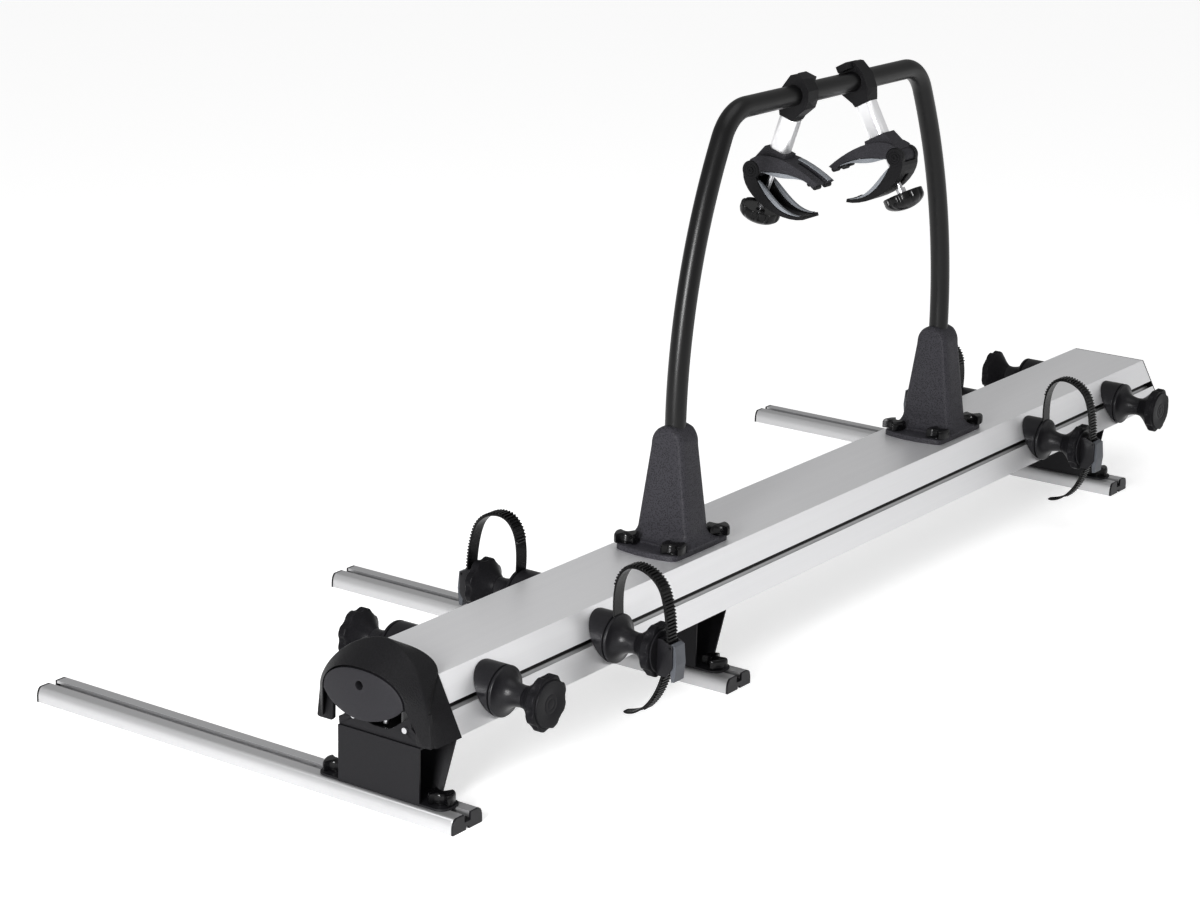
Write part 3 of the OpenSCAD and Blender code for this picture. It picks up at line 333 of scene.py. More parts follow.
def soften(node, width):
    """Joins a node's loose triangles and rounds its sharp edges."""
    weld = node.modifiers.new("joined", "WELD")
    weld.merge_threshold = 0.00002
    soft = node.modifiers.new("soft_edges", "BEVEL")
    soft.width = width * MM
    soft.segments = 2
    soft.limit_method = "ANGLE"
    soft.angle_limit = math.radians(32)
    soft.use_clamp_overlap = True


for name, node in nodes.items():
    finish, edge = next((v for k, v in node_looks.items() if name.startswith(k)), (body_plastic, 0))
    node.data.materials.clear()
    node.data.materials.append(finish)
    if edge:
        soften(node, edge)


# Surfaces
def net(grid, around=False, ring=False, ends=False):
    """Faces over a grid of points.

    around joins the last column to the first, ring joins the last row to the first, and ends closes the
    first and the last row with a fan about its middle.
    """
    rows, cols = grid.shape[:2]
    i = np.arange(rows if ring else rows - 1)[:, None]
    j = np.arange(cols if around else cols - 1)[None, :]
    down, right = (i + 1) % rows, (j + 1) % cols
    quads = np.stack([i * cols + j, i * cols + right, down * cols + right, down * cols + j], -1)
    points, faces = grid.reshape(-1, 3), quads.reshape(-1, 4).tolist()
    if ends:
        first = np.arange(cols)
        second = (first + 1) % cols
        for row, middle in ((0, len(points)), (rows - 1, len(points) + 1)):
            fan = np.stack([row * cols + first, row * cols + second, np.full(cols, middle)], -1)
            faces += fan.tolist()
        points = np.vstack([points, grid[[0, -1]].mean(1)])
    return points, faces


def closed(grid):
    """Faces over rows that are closed loops, with both ends filled."""
    return net(grid, around=True, ends=True)


def piece(name, parts, finish, body, replaces=(), smooth=32):
    """One object from several nets in millimetres, with doubles merged and faces turned outwards.

    smooth is the angle in degrees above which an edge stays sharp.
    """
    points, faces, base = [], [], 0
    for part_points, part_faces in parts:
        points.append(part_points)
        faces += [[base + k for k in face] for face in part_faces]
        base += len(part_points)
    mesh = bpy.data.meshes.new(name)
    mesh.from_pydata((np.vstack(points) * MM).tolist(), [], faces)
    bm = bmesh.new()
    bm.from_mesh(mesh)
    bmesh.ops.remove_doubles(bm, verts=bm.verts, dist=2e-6)
    bmesh.ops.dissolve_degenerate(bm, edges=bm.edges, dist=1e-6)
    bmesh.ops.recalc_face_normals(bm, faces=bm.faces)
    bm.to_mesh(mesh)
    bm.free()
    mesh.shade_smooth()
    mesh.set_sharp_from_angle(angle=math.radians(smooth))
    mesh.materials.append(finish)
    obj = bpy.data.objects.new(name, mesh)
    scene.collection.objects.link(obj)
    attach(obj, body)
    if replaces:
        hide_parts(*replaces)


def circle(steps):
    """Cosines and sines of even steps round a circle."""
    t = np.linspace(0, 2 * np.pi, steps, endpoint=False)
    return np.cos(t), np.sin(t)


def beside(line):
    """Unit vectors square to a flat line, on the left of its way."""
    ahead = np.gradient(line, axis=0)
    ahead /= np.linalg.norm(ahead, axis=1, keepdims=True)
    return np.stack([-ahead[:, 1], ahead[:, 0]], -1)


def tube(line, radius, steps):
    """A round section carried along a line that stays in a plane square to X."""
    ahead = np.gradient(line, axis=0)
    ahead /= np.linalg.norm(ahead, axis=1, keepdims=True)
    side = np.array([1.0, 0, 0])
    across = np.cross(ahead, side)
    c, s = circle(steps)
    turn = c[None, :, None] * side + s[None, :, None] * across[:, None, :]
    return line[:, None, :] + radius * turn


def turned(profile, place, steps, flip=1):
    """Points (x, radius) turned about a line along X through place; flip -1 mirrors it to the left side."""
    x, r = np.asarray(profile, float).T[..., None]
    c, s = circle(steps)
    return np.stack([flip * x + 0 * c, place[0] + r * c, place[1] + r * s], -1)


def bezier(p, n):
    """A cubic curve through its first and last point, drawn towards the two between them."""
    t = np.linspace(0, 1, n)[:, None]
    p = np.asarray(p, float)
    u = 1 - t
    return u ** 3 * p[0] + 3 * t * u ** 2 * p[1] + 3 * t * t * u * p[2] + t ** 3 * p[3]


def brick(x, y, z, edge=0.6):
    """A block whose eight-sided outline is drawn in near both ends, so that its edges are soft."""
    rows = []
    for level, by in ((z[0], edge), (z[0] + edge, 0), (z[1] - edge, 0), (z[1], edge)):
        a, b, c, d = x[0] + by, x[1] - by, y[0] + by, y[1] - by
        rows.append([[a + edge, c, level], [b - edge, c, level], [b, c + edge, level],
                     [b, d - edge, level], [b - edge, d, level], [a + edge, d, level],
                     [a, d - edge, level], [a, c + edge, level]])
    return closed(np.array(rows))


def inset(outline, by):
    """A flat outline moved inwards by a width, corner by corner along its bisectors."""
    p = np.asarray(outline, float)
    u, v = p - np.roll(p, 1, 0), np.roll(p, -1, 0) - p
    u /= np.linalg.norm(u, axis=1, keepdims=True)
    v /= np.linalg.norm(v, axis=1, keepdims=True)
    n = np.stack([-u[:, 1], u[:, 0]], -1)
    m = np.stack([-v[:, 1], v[:, 0]], -1)
    turn = np.sign((u[:, 0] * v[:, 1] - u[:, 1] * v[:, 0]).sum())
    bisector = (n + m) / (1 + (n * m).sum(1, keepdims=True))
    return p + bisector * by * turn


def slab(outline, y0, y1, edge=0.7):
    """A flat outline (x, z) given depth along Y, with both rims rounded over."""
    near = [(y0, edge), (y0 + edge * 0.3, edge * 0.3), (y0 + edge, 0)]
    far = [(y1 - edge, 0), (y1 - edge * 0.3, edge * 0.3), (y1, edge)]
    return np.array([np.insert(inset(outline, by), 1, y, axis=1) for y, by in near + far])


# Hoop
HOOP_R = 15.0
LEG_ARC = 870.0                       # radius of a leg's long curve
LEG_ARC_Z = 359.0                     # where that curve begins
LEG_END_Z = 262.0                     # where the leg ends, inside its tower
CORNER_R = 65.0
SHORT_STRAIGHT = 12.0                 # between the long curve and the corner


def hoop_line():
    """Half of the hoop's middle line, then its mirror.

    The half has an upright foot, a long curve, a short straight and the corner's bend.
    """
    lead = LEG_ARC - CORNER_R
    rise = BAR_Z - LEG_ARC_Z - CORNER_R
    bend = math.asin(rise / math.hypot(lead, SHORT_STRAIGHT)) - math.atan(SHORT_STRAIGHT / lead)
    a = np.linspace(0, bend, 44)
    b = np.linspace(bend, math.pi / 2, 22)
    arc_y = FOOT_Y - LEG_ARC
    corner_y = arc_y + lead * math.cos(bend) - SHORT_STRAIGHT * math.sin(bend)
    corner_z = BAR_Z - CORNER_R
    foot = np.linspace(LEG_END_Z, LEG_ARC_Z - 7, 6)
    y = np.concatenate([0 * foot + FOOT_Y, arc_y + LEG_ARC * np.cos(a), corner_y + CORNER_R * np.cos(b)])
    z = np.concatenate([foot, LEG_ARC_Z + LEG_ARC * np.sin(a), corner_z + CORNER_R * np.sin(b)])
    y = np.append(y, -y[::-1]) + HOOP_Y
    z = np.append(z, z[::-1])
    return np.stack([0 * y, y, z], -1)


piece("hoop_tube", [closed(tube(hoop_line(), HOOP_R, 56))], hoop_coat, "carriage", ["hoop"])

# Towers
PLATE_HALF = 52.0                     # foot plate, half of its width
PLATE_BOW = 173.0                     # radius of its bowed ends
PLATE_END = 76.0                      # half of its length
PLATE_Z = BEAM_TOP + 8
PLATE_RIM = ((3, 0.1), (0, 0.1), (0, 5.2), (0.2, 6.4), (0.7, 7.3), (1.5, 7.8), (2.6, 8.0))
COLUMN_FOOT = (45.0, 206.8)           # half of the column's width and the height where it has it
COLUMN_HEAD = (26.8, 335.0)           # the same where the round crest begins
CREST_R = 27.0
CREST_Z = COLUMN_HEAD[1] + CREST_R
CREST_DRAWN = (5.5, 6.5)              # how far its ends are drawn in at the very top, and over what height
COLUMN_DEPTH = (24.5, 330.0)          # half of its depth, and the height below which it grows by the draft
DRAFT = 0.03
FILLET_R = 17.0                       # around its foot
FILLET_TOP = PLATE_Z + 20
BEVEL = (4.2, 6.5)                    # of its corners, across and along
KNOB_PLACE = (40.0, 56.0)             # wing bolts, from the tower's middle
POCKET_R = 19.2                       # round pockets that the wing knobs turn in
POCKET_TOP = 207.0                    # height where a pocket begins to close like a dome


def foot_plate(c, s):
    """Rows of the foot plate: two straight sides between two bowed ends, drawn in along its upper rim."""
    centre = PLATE_BOW - PLATE_END
    side = PLATE_HALF / np.maximum(np.abs(c), 1e-6)
    bow = -centre * np.abs(s) + np.sqrt((centre * s) ** 2 - centre ** 2 + PLATE_BOW ** 2)
    reach = (side ** -16 + bow ** -16) ** (-1 / 16)
    return [np.stack([(reach - i) * c, (reach - i) * s, 0 * c + BEAM_TOP + z], -1) for i, z in PLATE_RIM]


def column_sizes():
    """Height, half width and half depth of the column's rows: straight flanks, a fillet below, a crest."""
    crest_angle = np.radians(np.linspace(0, 89, 30))
    z = np.concatenate([
        PLATE_Z + np.array([0, 0.2, 0.7, 1.4]), np.linspace(196, 216, 26),
        np.linspace(220, COLUMN_DEPTH[1], 18), COLUMN_HEAD[1] + CREST_R * np.sin(crest_angle)])
    slope = (COLUMN_FOOT[0] - COLUMN_HEAD[0]) / (COLUMN_HEAD[1] - COLUMN_FOOT[1])
    crest = np.sqrt(np.maximum(CREST_R ** 2 - (z - COLUMN_HEAD[1]) ** 2, 0.05))
    half = np.where(z < COLUMN_HEAD[1], COLUMN_FOOT[0] - (z - COLUMN_FOOT[1]) * slope, crest)
    depth = COLUMN_DEPTH[0] + (COLUMN_DEPTH[1] - z).clip(0) * DRAFT
    below = (FILLET_TOP - z).clip(0, FILLET_R)
    foot = FILLET_R - np.sqrt(np.maximum(FILLET_R ** 2 - below ** 2, 0))
    rounding = CREST_DRAWN[0] * np.clip(1 - (CREST_Z - z) / CREST_DRAWN[1], 0, 1)
    return z[:, None], (half + foot * 0.5)[:, None], (depth + foot - rounding)[:, None]


def tower_grid(cols=288):
    """Rows of a tower from the plate's underside to the column's crest.

    A row of the column is a rectangle with bevelled corners. Where a ray from its middle meets the round
    pocket of a wing knob, the row stops at the pocket's near side.
    """
    c, s = circle(cols)
    level, half, depth = column_sizes()
    sharp = 26.0
    bevel = (np.abs(c) / BEVEL[0] + np.abs(s) / BEVEL[1]) / (half / BEVEL[0] + depth / BEVEL[1] - 1)
    reach = ((np.abs(c) / half) ** sharp + (np.abs(s) / depth) ** sharp + bevel ** sharp) ** (-1 / sharp)
    pocket = POCKET_R ** 2 - np.maximum(level - POCKET_TOP, 0) ** 2
    to_bolt = np.abs(c) * KNOB_PLACE[0] + np.abs(s) * KNOB_PLACE[1]
    gap = to_bolt ** 2 - (KNOB_PLACE[0] ** 2 + KNOB_PLACE[1] ** 2 - np.maximum(pocket, 0))
    stop = np.where(gap > 0, to_bolt - np.sqrt(np.maximum(gap, 0)), CLEAR)
    near = np.minimum(reach, stop)
    column = np.stack([near * c, near * s, level + 0 * near], -1)
    return np.concatenate([foot_plate(c, s), column])


TOWERS = {"near": HOOP_Y - FOOT_Y, "far": HOOP_Y + FOOT_Y}
for tower, y in TOWERS.items():
    piece("tower_shell_" + tower, [closed(tower_grid() + [0, y, 0])], tower_plastic, "carriage",
          ["tower_" + tower], smooth=40)

# Near cap: a line over it is given by its right foot, its right side, its top and its roundness
Arch = namedtuple("Arch", "foot side top power")
RIM = Arch((106.0, 14.0, 112.0), (67.5, 14.0, 188.0), (0, 14.0, 215.0), 2.4)
FRONT = Arch((95.5, -23.5, 106.0), (88.0, -30.0, 149.0), (0, -8.0, 227.0), 1.75)
NOSE = Arch((80.0, -34.0, 111.0), (66.0, -50.0, 158.0), (0, -56.0, 199.5), 2.1)
CAP_WALL = 3.5
CORNER_SHARES = ((0.10, 0.12), (0.04, 0.4), (0.4, 0.04), (0.10, 0.10))
REAR_WEB_Y = (10.5, 14)
TONGUE = ((-42, 42), (13, 50), (176.8, 182.7))   # under the beam's top wall
LEG_Y = (-29.5, -23)
LEG_FACE = [(93, 107), (90, 105), (70, 105), (67, 108), (66, 150), (88, 150)]
HANDLE_AXIS = (-33, 150)


def arch(line, up_steps=14, over_steps=44):
    """Points over the cap from its right foot to its left.

    They run straight up to the side, and then over the top as a quarter of a superellipse and its mirror.
    """
    foot, side, top = (np.asarray(p, float) for p in line[:3])
    low = foot + (side - foot) * np.linspace(0, 1, up_steps, endpoint=False)[:, None]
    a = np.linspace(0, np.pi / 2, over_steps + 1)
    c = np.cos(a).clip(0) ** (2 / line.power)
    s = np.sin(a) ** (2 / line.power)
    high = np.stack([side[0] * c, top[1] + (side[1] - top[1]) * c ** 1.4,
                     side[2] + (top[2] - side[2]) * s], -1)
    right = np.vstack([low, high])
    return np.vstack([right, (right * [-1, 1, 1])[-2::-1]])


def smaller(line, wall, top_wall, back=0):
    """A line set in by a wall at its sides and another at its top, and moved back."""
    foot, side, top = (np.asarray(p, float) for p in line[:3])
    return Arch(foot + [-wall, back, 0], side + [-wall, back, 0], top + [0, back, -top_wall], line.power)


def rounded(lines, shares):
    """Straight strips between lines, with a small curve in place of each inner line.

    The two shares say how far the curve reaches into the strip before and the strip after.
    """
    out = [lines[0]]
    for before, corner, after, share in zip(lines, lines[1:], lines[2:], shares):
        a = corner + (before - corner) * share[0]
        b = corner + (after - corner) * share[1]
        out.append(before + (a - before) * 0.5)
        out += [(1 - t) ** 2 * a + 2 * t * (1 - t) * corner + t * t * b for t in np.linspace(0, 1, 7)]
    return out + [lines[-1]]


def hood():
    """The cap's skin: rim, front edge and nose outside, and the same lines set in by the wall inside."""
    lines = [RIM, FRONT, NOSE, smaller(NOSE, 0, 0, 3), smaller(FRONT, CAP_WALL, CAP_WALL + 0.5, CAP_WALL),
             smaller(RIM, CAP_WALL, CAP_WALL)]
    skin = np.array(rounded([arch(line) for line in lines], CORNER_SHARES))
    points, faces = net(skin, ring=True)
    rows, cols = skin.shape[:2]
    k = np.arange(rows // 2 - 1)
    for i in (0, cols - 1):
        out, back = k * cols + i, (rows - 1 - k) * cols + i
        faces += np.stack([out, out + cols, back - cols, back], -1).tolist()
    return points, faces


def rear_web():
    """The web that closes the cap's arch behind, above the beam's top wall."""
    line = arch(smaller(RIM, 1.5, 1.5))
    over = line[line[:, 2] > BEAM_TOP + 1][:, [0, 2]]
    foot_x, foot_z = 60.1, TONGUE[2][0]
    outline = np.vstack([[foot_x, foot_z], over, [-foot_x, foot_z]])
    return closed(np.array([np.insert(outline, 1, y, axis=1) for y in REAR_WEB_Y]))


def handle_boss(flip):
    """Ring inside a leg that the handle's pin turns in."""
    ring = [(67, 3.05), (67, 6), (74.5, 6), (74.5, 3.05)]
    return net(turned(ring, HANDLE_AXIS, 40, flip), around=True, ring=True)


def latch_post():
    """Upright plate in the middle of the cap, drawn in at its foot and its head."""
    corners = np.array([(-1, -13), (1, -13), (1, 5), (-1, 5)])
    rows = [[(a * x, y, z) for a, y in corners] for x, z in ((8.6, 159), (9, 159.5), (9, 204.5), (8.6, 205))]
    return closed(np.array(rows))


bosses = [handle_boss(flip) for flip in (1, -1)]
leg_faces = [closed(slab(np.array(LEG_FACE) * [flip, 1], *LEG_Y, 1.2)) for flip in (1, -1)]
piece("cap_hood", [hood(), rear_web(), brick(*TONGUE)] + bosses + leg_faces, hood_plastic, "carriage",
      ["near_cap"], smooth=38)
piece("latch_post", [latch_post()], hood_plastic, "carriage")

# Cradle knobs: places along their axis are counted from the beam's middle
KNOB_R = 37.0
LOBES = 8
SCALLOP_R = 12.0
SCALLOP_AT = 45.0                     # middle of a scallop, from the knob's axis
BORE_R = 4.1
KNOB_NECK = [(141.3, BORE_R, 0, 0), (141.3, 14.6, 0, 0), (141.6, 15.1, 0, 0)]
KNOB_TRUMPET = [(141.3, 15.2), (145, 16), (153, 22), (164, 35)]
KNOB_BACK_RIM = [(163.4, 34.4, 0.15, 0), (163.9, 35.6, 0.5, 0), (164.7, 36.5, 0.85, 0)]
KNOB_FRONT_RIM = [(175.1, 36.6, 0.9, 0), (175.7, 35.8, 0.8, 0), (176.0, 34.6, 0.65, 0)]
KNOB_LID = [(176.0, 31.6, 0.2, 0), (175.5, 31.2, 0, 0), (175.5, 30.8, 0, 0), (176.4, 30.5, 0, 0),
            (177.5, 30.5, 0, 0), (178.0, 30.0, 0, 0)]
LID_GROOVES = (13, 7)
LID_TOP = 178.0
KNOB_OPEN = [(176.0, 28, 0.1, 0), (176.0, BORE_R, 0, 0)]
LOBE_MIDDLE, LOBE_HALF = 170.0, 5.0
LOBE_DISH = 0.35                      # how much deeper the scallops are there, as a share


def lobed_knob(y, flip, lidded):
    """A trumpet that opens into eight lobes, with a lid where no strap's buckle sits on it.

    A row has its place along the axis, its radius, how much of the scallops it takes, and how much they
    are hollowed besides, which is most at half the lobes' height. A mean over five neighbours softens the
    scallops' ends.
    """
    t = np.linspace(0, 2 * np.pi, LOBES * 24, endpoint=False)
    turn = (t + np.pi / LOBES) % (2 * np.pi / LOBES) - np.pi / LOBES
    across = SCALLOP_R ** 2 - (SCALLOP_AT * np.sin(turn)) ** 2
    edge = SCALLOP_AT * np.cos(turn) - np.sqrt(np.maximum(across, 0)) + np.where(across < 0, CLEAR, 0)
    cut = KNOB_R - np.minimum(KNOB_R, edge)
    cut = sum(np.roll(cut, k) for k in (0, 1, -1, 2, -2)) / 5
    rows = KNOB_NECK + [(x, r, 0, 0) for x, r in bezier(KNOB_TRUMPET, 16)[1:-1]] + KNOB_BACK_RIM
    rows += [(LOBE_MIDDLE + LOBE_HALF * way, KNOB_R, 1, 1 - way ** 2) for way in np.linspace(-0.88, 0.88, 9)]
    rows += KNOB_FRONT_RIM
    if lidded:
        rows += KNOB_LID
        for groove in LID_GROOVES:
            rows += [(LID_TOP - sunk, groove + off, 0, 0)
                     for sunk, off in ((0, 0.6), (0.15, 0.2), (0.15, -0.2), (0, -0.6))]
        rows += [(LID_TOP, 2, 0, 0)]
    else:
        rows += KNOB_OPEN
    x, r, lobe, dish = np.array(rows, float).T[..., None]
    r = r - (lobe + LOBE_DISH * dish) * cut
    return closed(np.stack([flip * (x + 0 * t), y + r * np.sin(t), SLOT_Z + r * np.cos(t)], -1))


for side, flip in FLIP.items():
    for k, y in enumerate(CRADLE_Y[side], 1):
        name = f"{side}_{k}"
        piece("lobes_" + name, [lobed_knob(y, flip, k not in STRAPPED)], lobe_rubber, "knob_" + name,
              ["knob_" + name], smooth=45)

# Wheel cradles and straps, as places (out from the beam's middle, along, up from the cradle's axis)
STRAP = [[(105.5, 26.4), (103, 53), (102, 91), (124, 104)],
         [(124, 104), (139, 112.5), (163, 105), (175, 88)],
         [(175, 88), (184, 75), (190, 40), (190, 16)],
         [(190, 16), (190, -37), (165, -97), (120, -98.5)]]
STRAP_HALF = 11.0
STRAP_THICK = 1.2                     # from its middle to a face, without teeth
TOOTH_PITCH = 4.6
TOOTH_RISE = 2.5
TOOTH_SHARE = 0.62                    # of a pitch that a tooth takes, with its two flanks
TOOTHLESS = (46, 34)                  # lengths without teeth at its start and its end
STRAP_SECTION = [(-1, -0.8, 0), (-1, 0.6, 0), (-0.965, 1, 0), (-0.92, 1, 0.15), (-0.88, 1, 1),
                 (0.88, 1, 1), (0.92, 1, 0.15), (0.965, 1, 0), (1, 0.6, 0), (1, -0.8, 0),
                 (0.96, -1, 0), (-0.96, -1, 0)]
PAD_START = 87.05                     # the beam's side at the cradle's axis, and a hair's room
CRADLE_R = 34.0
PAD_BACK = [(0, 30.0), (0.05, 33.2), (0.7, CRADLE_R)]
RING_AND_GROOVE = [(101.6, CRADLE_R), (102.2, 33.4), (102.5, 31.2), (104.3, 31.2), (104.6, 33.2),
                   (105.2, CRADLE_R), (106.6, CRADLE_R), (107.6, 33.8)]
CRADLE_CONE = [(108.4, 33.2), (111.5, 20.5), (120, 15.5), (135, 14.5)]
CRADLE_FACE = [(139.5, 14.9), (141, 15.1), (141, BORE_R)]
CHEEK = [(176.4, -28), (176.4, 19), (178, 20.5), (184.3, 20.5), (200, 14), (201.5, 11), (201.5, -17),
         (192.3, -31), (178.4, -31)]
CHEEK_Y = (11.7, 14)
WEB = [(176.4, -26), (176.4, 20), (185.3, 20), (185.3, -12), (181, -28)]
BUCKLE_DISC = [(176.3, 29.8), (176.5, 30.5), (177.7, 30.5), (178.3, 29.8), (178.3, 27), (178.1, 26.6),
               (178.1, 4)]


def strap_grid():
    """Ladder strap: a soft-edged section along its middle line, with teeth that rise and fall by its length.

    The line is cut into equal steps, and over its last 20 mm the strap grows narrow and thin.
    """
    line = np.vstack([bezier(p, 90)[:-1] for p in STRAP] + [STRAP[-1][-1:]])
    run = np.concatenate([[0], np.cumsum(np.linalg.norm(np.diff(line, axis=0), axis=1))])
    s = np.linspace(0, run[-1], 620)
    line = np.stack([np.interp(s, run, line[:, k]) for k in (0, 1)], -1)
    off = beside(line)
    phase = s / TOOTH_PITCH % 1
    tooth = np.clip(np.minimum(phase, TOOTH_SHARE - phase) * 9, 0, 1)
    tooth *= np.clip((s - TOOTHLESS[0]) / 4, 0, 1) * np.clip((run[-1] - TOOTHLESS[1] - s) / 4, 0, 1)
    end = np.clip((run[-1] - s) / 20, 0, 1)
    wide = STRAP_HALF * (0.34 + 0.66 * np.sqrt(1 - (1 - end) ** 2))
    thick = STRAP_THICK * (0.55 + 0.45 * end)
    rows = []
    for y, height, teeth in STRAP_SECTION:
        p = line + off * (thick * height + TOOTH_RISE * tooth * teeth)[:, None]
        rows.append(np.stack([p[:, 0], y * wide, p[:, 1]], -1))
    return np.stack(rows, 1)


def cradle_grid():
    """Pad, ring and cone of a cradle, turned about its axis.

    The pad's back follows the beam's slanted side, each later row stays a little further out than the
    one before, and a groove runs behind the ring.
    """
    c, s = circle(112)
    cone = [(x, r) for x, r in bezier(CRADLE_CONE, 18)]
    grid = []
    for k, (x, r) in enumerate(PAD_BACK + RING_AND_GROOVE + cone + CRADLE_FACE):
        side = PAD_START - r * c * math.tan(BEAM_LEAN)
        out = side + x if x < 1 else np.maximum(side + 0.7 + 0.05 * k, x)
        grid.append(np.stack([out, r * s, r * c], -1))
    return np.array(grid)


def buckle():
    """A buckle's frame: two cheeks, the web between them and the disc that they stand on."""
    cheeks = [slab(CHEEK, a, b) for a, b in (np.array(CHEEK_Y[::-1]) * -1, CHEEK_Y)]
    web = slab(WEB, -CHEEK_Y[0], CHEEK_Y[0], 0.3)
    c, s = circle(72)
    disc = np.array([np.stack([0 * c + x, r * s, r * c], -1) for x, r in BUCKLE_DISC])
    return cheeks + [web, disc]


def on_beam(grid, y, flip):
    """A cradle's closed surface in its place on the right side or, mirrored, on the left."""
    return closed(grid * [flip, 1, 1] + [0, y, SLOT_Z])


for side, flip in FLIP.items():
    for k, y in enumerate(CRADLE_Y[side], 1):
        name = f"{side}_{k}"
        grids = [cradle_grid()]
        if k in STRAPPED:
            grids += buckle()
            piece("strap_band_" + name, [on_beam(strap_grid(), y, flip)], strap_rubber, "cradle_" + name,
                  ["strap_" + name], smooth=28)
        piece("cradle_body_" + name, [on_beam(grid, y, flip) for grid in grids], cradle_rubber,
              "cradle_" + name, ["cradle_" + name], smooth=30)

# Wing knobs
WING_HALF = 16.5                      # half of a knob's length, drawn before it is stretched
WING_END = 15.6
WAIST_R = 12.54
WAIST_AT = 19.04                      # middle of a waist's arc, from the knob's axis
WING_STRETCH = [1.13, 1.13, 1.35]
WING_TOP = 15.4
WING_RIM = ((1.0, 1.2), (0.2, 1.6), (0, 2.4), (0, 7.6), (0.4, 9.2), (1.2, 10.3), (2.4, 10.9), (4.2, 11.0))
SEAT = ((8.6, 0), (9, 0.4), (9, 2.6), (8.0, 3.0))
TOWER_KNOB_TURNS = (24, -35, 12, 40, -20, 30, -8, 18)
BRACKET_KNOB_TURNS = (20, -30, 25)
BRACKET_KNOB_X, BRACKET_KNOB_Z = 85.5, 24


def wing_knob(x, y, z, turn):
    """A bow tie seen from above: flat ends and a round waist on both sides, drawn in towards its top."""
    c, s = circle(96)
    side = WAIST_AT * np.abs(s)
    gap = side ** 2 - WAIST_AT ** 2 + WAIST_R ** 2
    waist = np.where(gap > 0, side - np.sqrt(gap.clip(0)), CLEAR)
    ends = WING_END / np.maximum(np.abs(c), 1e-6)
    out = (WING_HALF ** -14 + ends ** -14 + waist ** -14) ** (-1 / 14)
    wings = [np.stack([(out - i) * c, (out - i) * s, 0 * c + h], -1) * WING_STRETCH for i, h in WING_RIM]
    wings.append(np.stack([2.0 * c, 2.0 * s, 0 * c + WING_TOP], -1))
    seat = [np.stack([r * c, r * s, 0 * c + h], -1) for r, h in SEAT]
    a = math.radians(turn)
    spin = np.array([[math.cos(a), math.sin(a), 0], [-math.sin(a), math.cos(a), 0], [0, 0, 1]])
    return [closed(np.array(g) @ spin + [x, y, z]) for g in (wings, seat)]


corners = [(a * KNOB_PLACE[0], y + b * KNOB_PLACE[1])
           for y in TOWERS.values() for a in (-1, 1) for b in (-1, 1)]
knobs = [wing_knob(x, y, PLATE_Z, turn) for (x, y), turn in zip(corners, TOWER_KNOB_TURNS)]
piece("tower_knobs", sum(knobs, []), knob_plastic, "carriage", ["tower_wing_bolts"])
knobs = [wing_knob(a * BRACKET_KNOB_X, y, BRACKET_KNOB_Z, turn)
         for y, turn in zip(RAIL_Y, BRACKET_KNOB_TURNS) for a in (-1, 1)]
piece("bracket_wing_knobs", sum(knobs, []), knob_plastic, "support", ["bracket_knobs"])

# Frame grips, drawn flat as places (towards the jaws' mouth, down the arm), with the bar's middle at 0, 0
GRIPS = {"left": (920, 18.0, 1), "right": (1083, 28.5, -1)}
UPPER_MOUTH = [(80, 109), (62, 98), (20, 108), (-13, 127)]
UPPER_BACK = [(-33, 120), (-22, 90), (35, 86), (87, 100)]
LOWER_MOUTH = [(79, 155), (45, 176), (8, 155), (-12, 136)]
PIVOT = (-24, 129)
COVER_Y = 22.5
TIP_Y = 21.5
UPPER_TIPS = ((82, 106.5, 4.2), (72, 106.5, 3.4))
LOWER_TIP = (79, 157.8, 2.4)
GRIP_KNOB_R = 30.5
FLUTES = 10
FLUTE_DEPTH = 2.2
GRIP_KNOB_FOOT = [(4.2, 182.6, 0), (25.8, 182.6, 0), (27.0, 181.4, 0), (28.0, 180.3, 0.2), (29.4, 180.0, 0.6),
                  (30.2, 180.5, 1), (GRIP_KNOB_R, 181.4, 1), (GRIP_KNOB_R, 185, 1)]
DOME_START, DOME_RISE = 189, 15
COVER_RINGS = [(13.6, -0.4), (13.6, 0.2), (13.0, 0.7), (9.6, 0.8), (9.3, 0.3), (8.8, 0.3), (8.5, 0.8),
               (5.6, 0.8), (5.3, 0.2), (4.8, 0.2), (4.7, 1.5), (4.1, 2.0)]
SOCKET_RINGS = [(1.12, 2.0), (1.0, 1.8), (0.97, 0.4), (0.3, 0.4)]
SOCKET_HALF = 2.1                     # half of the hexagon's width


def on_arm(side, grid):
    """A grip's closed surface in its place on the bar: its arm hangs from it and tilts away on its side."""
    y, tilt, flip = GRIPS[side]
    c, s = math.cos(math.radians(tilt)), math.sin(math.radians(tilt))
    out, along, down = np.moveaxis(grid, -1, 0)
    return closed(np.stack([flip * (out * c - down * s), y + along, BAR_Z - out * s - down * c], -1))


def band(line, lift, y0, y1, edge=0.8):
    """A strip along a flat line: its outer face stands off by lift, and its long edges are round."""
    off = beside(line)
    section = [(y0, -1.2), (y0, 0.45), (y0 + edge * 0.3, 0.82), (y0 + edge, 1), (y1 - edge, 1),
               (y1 - edge * 0.3, 0.82), (y1, 0.45), (y1, -1.2)]
    rows = []
    for y, height in section:
        stand = lift * height if height > 0 else 0 * lift + height
        rows.append(np.insert(line + off * stand[:, None], 1, y, axis=1))
    return np.stack(rows, 1)


def stretch(curve, a, b, n):
    """The part of a curve between two shares of it, as n points."""
    p = bezier(curve, 200)
    i = np.linspace(a * 199, b * 199, n)
    return np.stack([np.interp(i, np.arange(200), p[:, k]) for k in (0, 1)], -1)


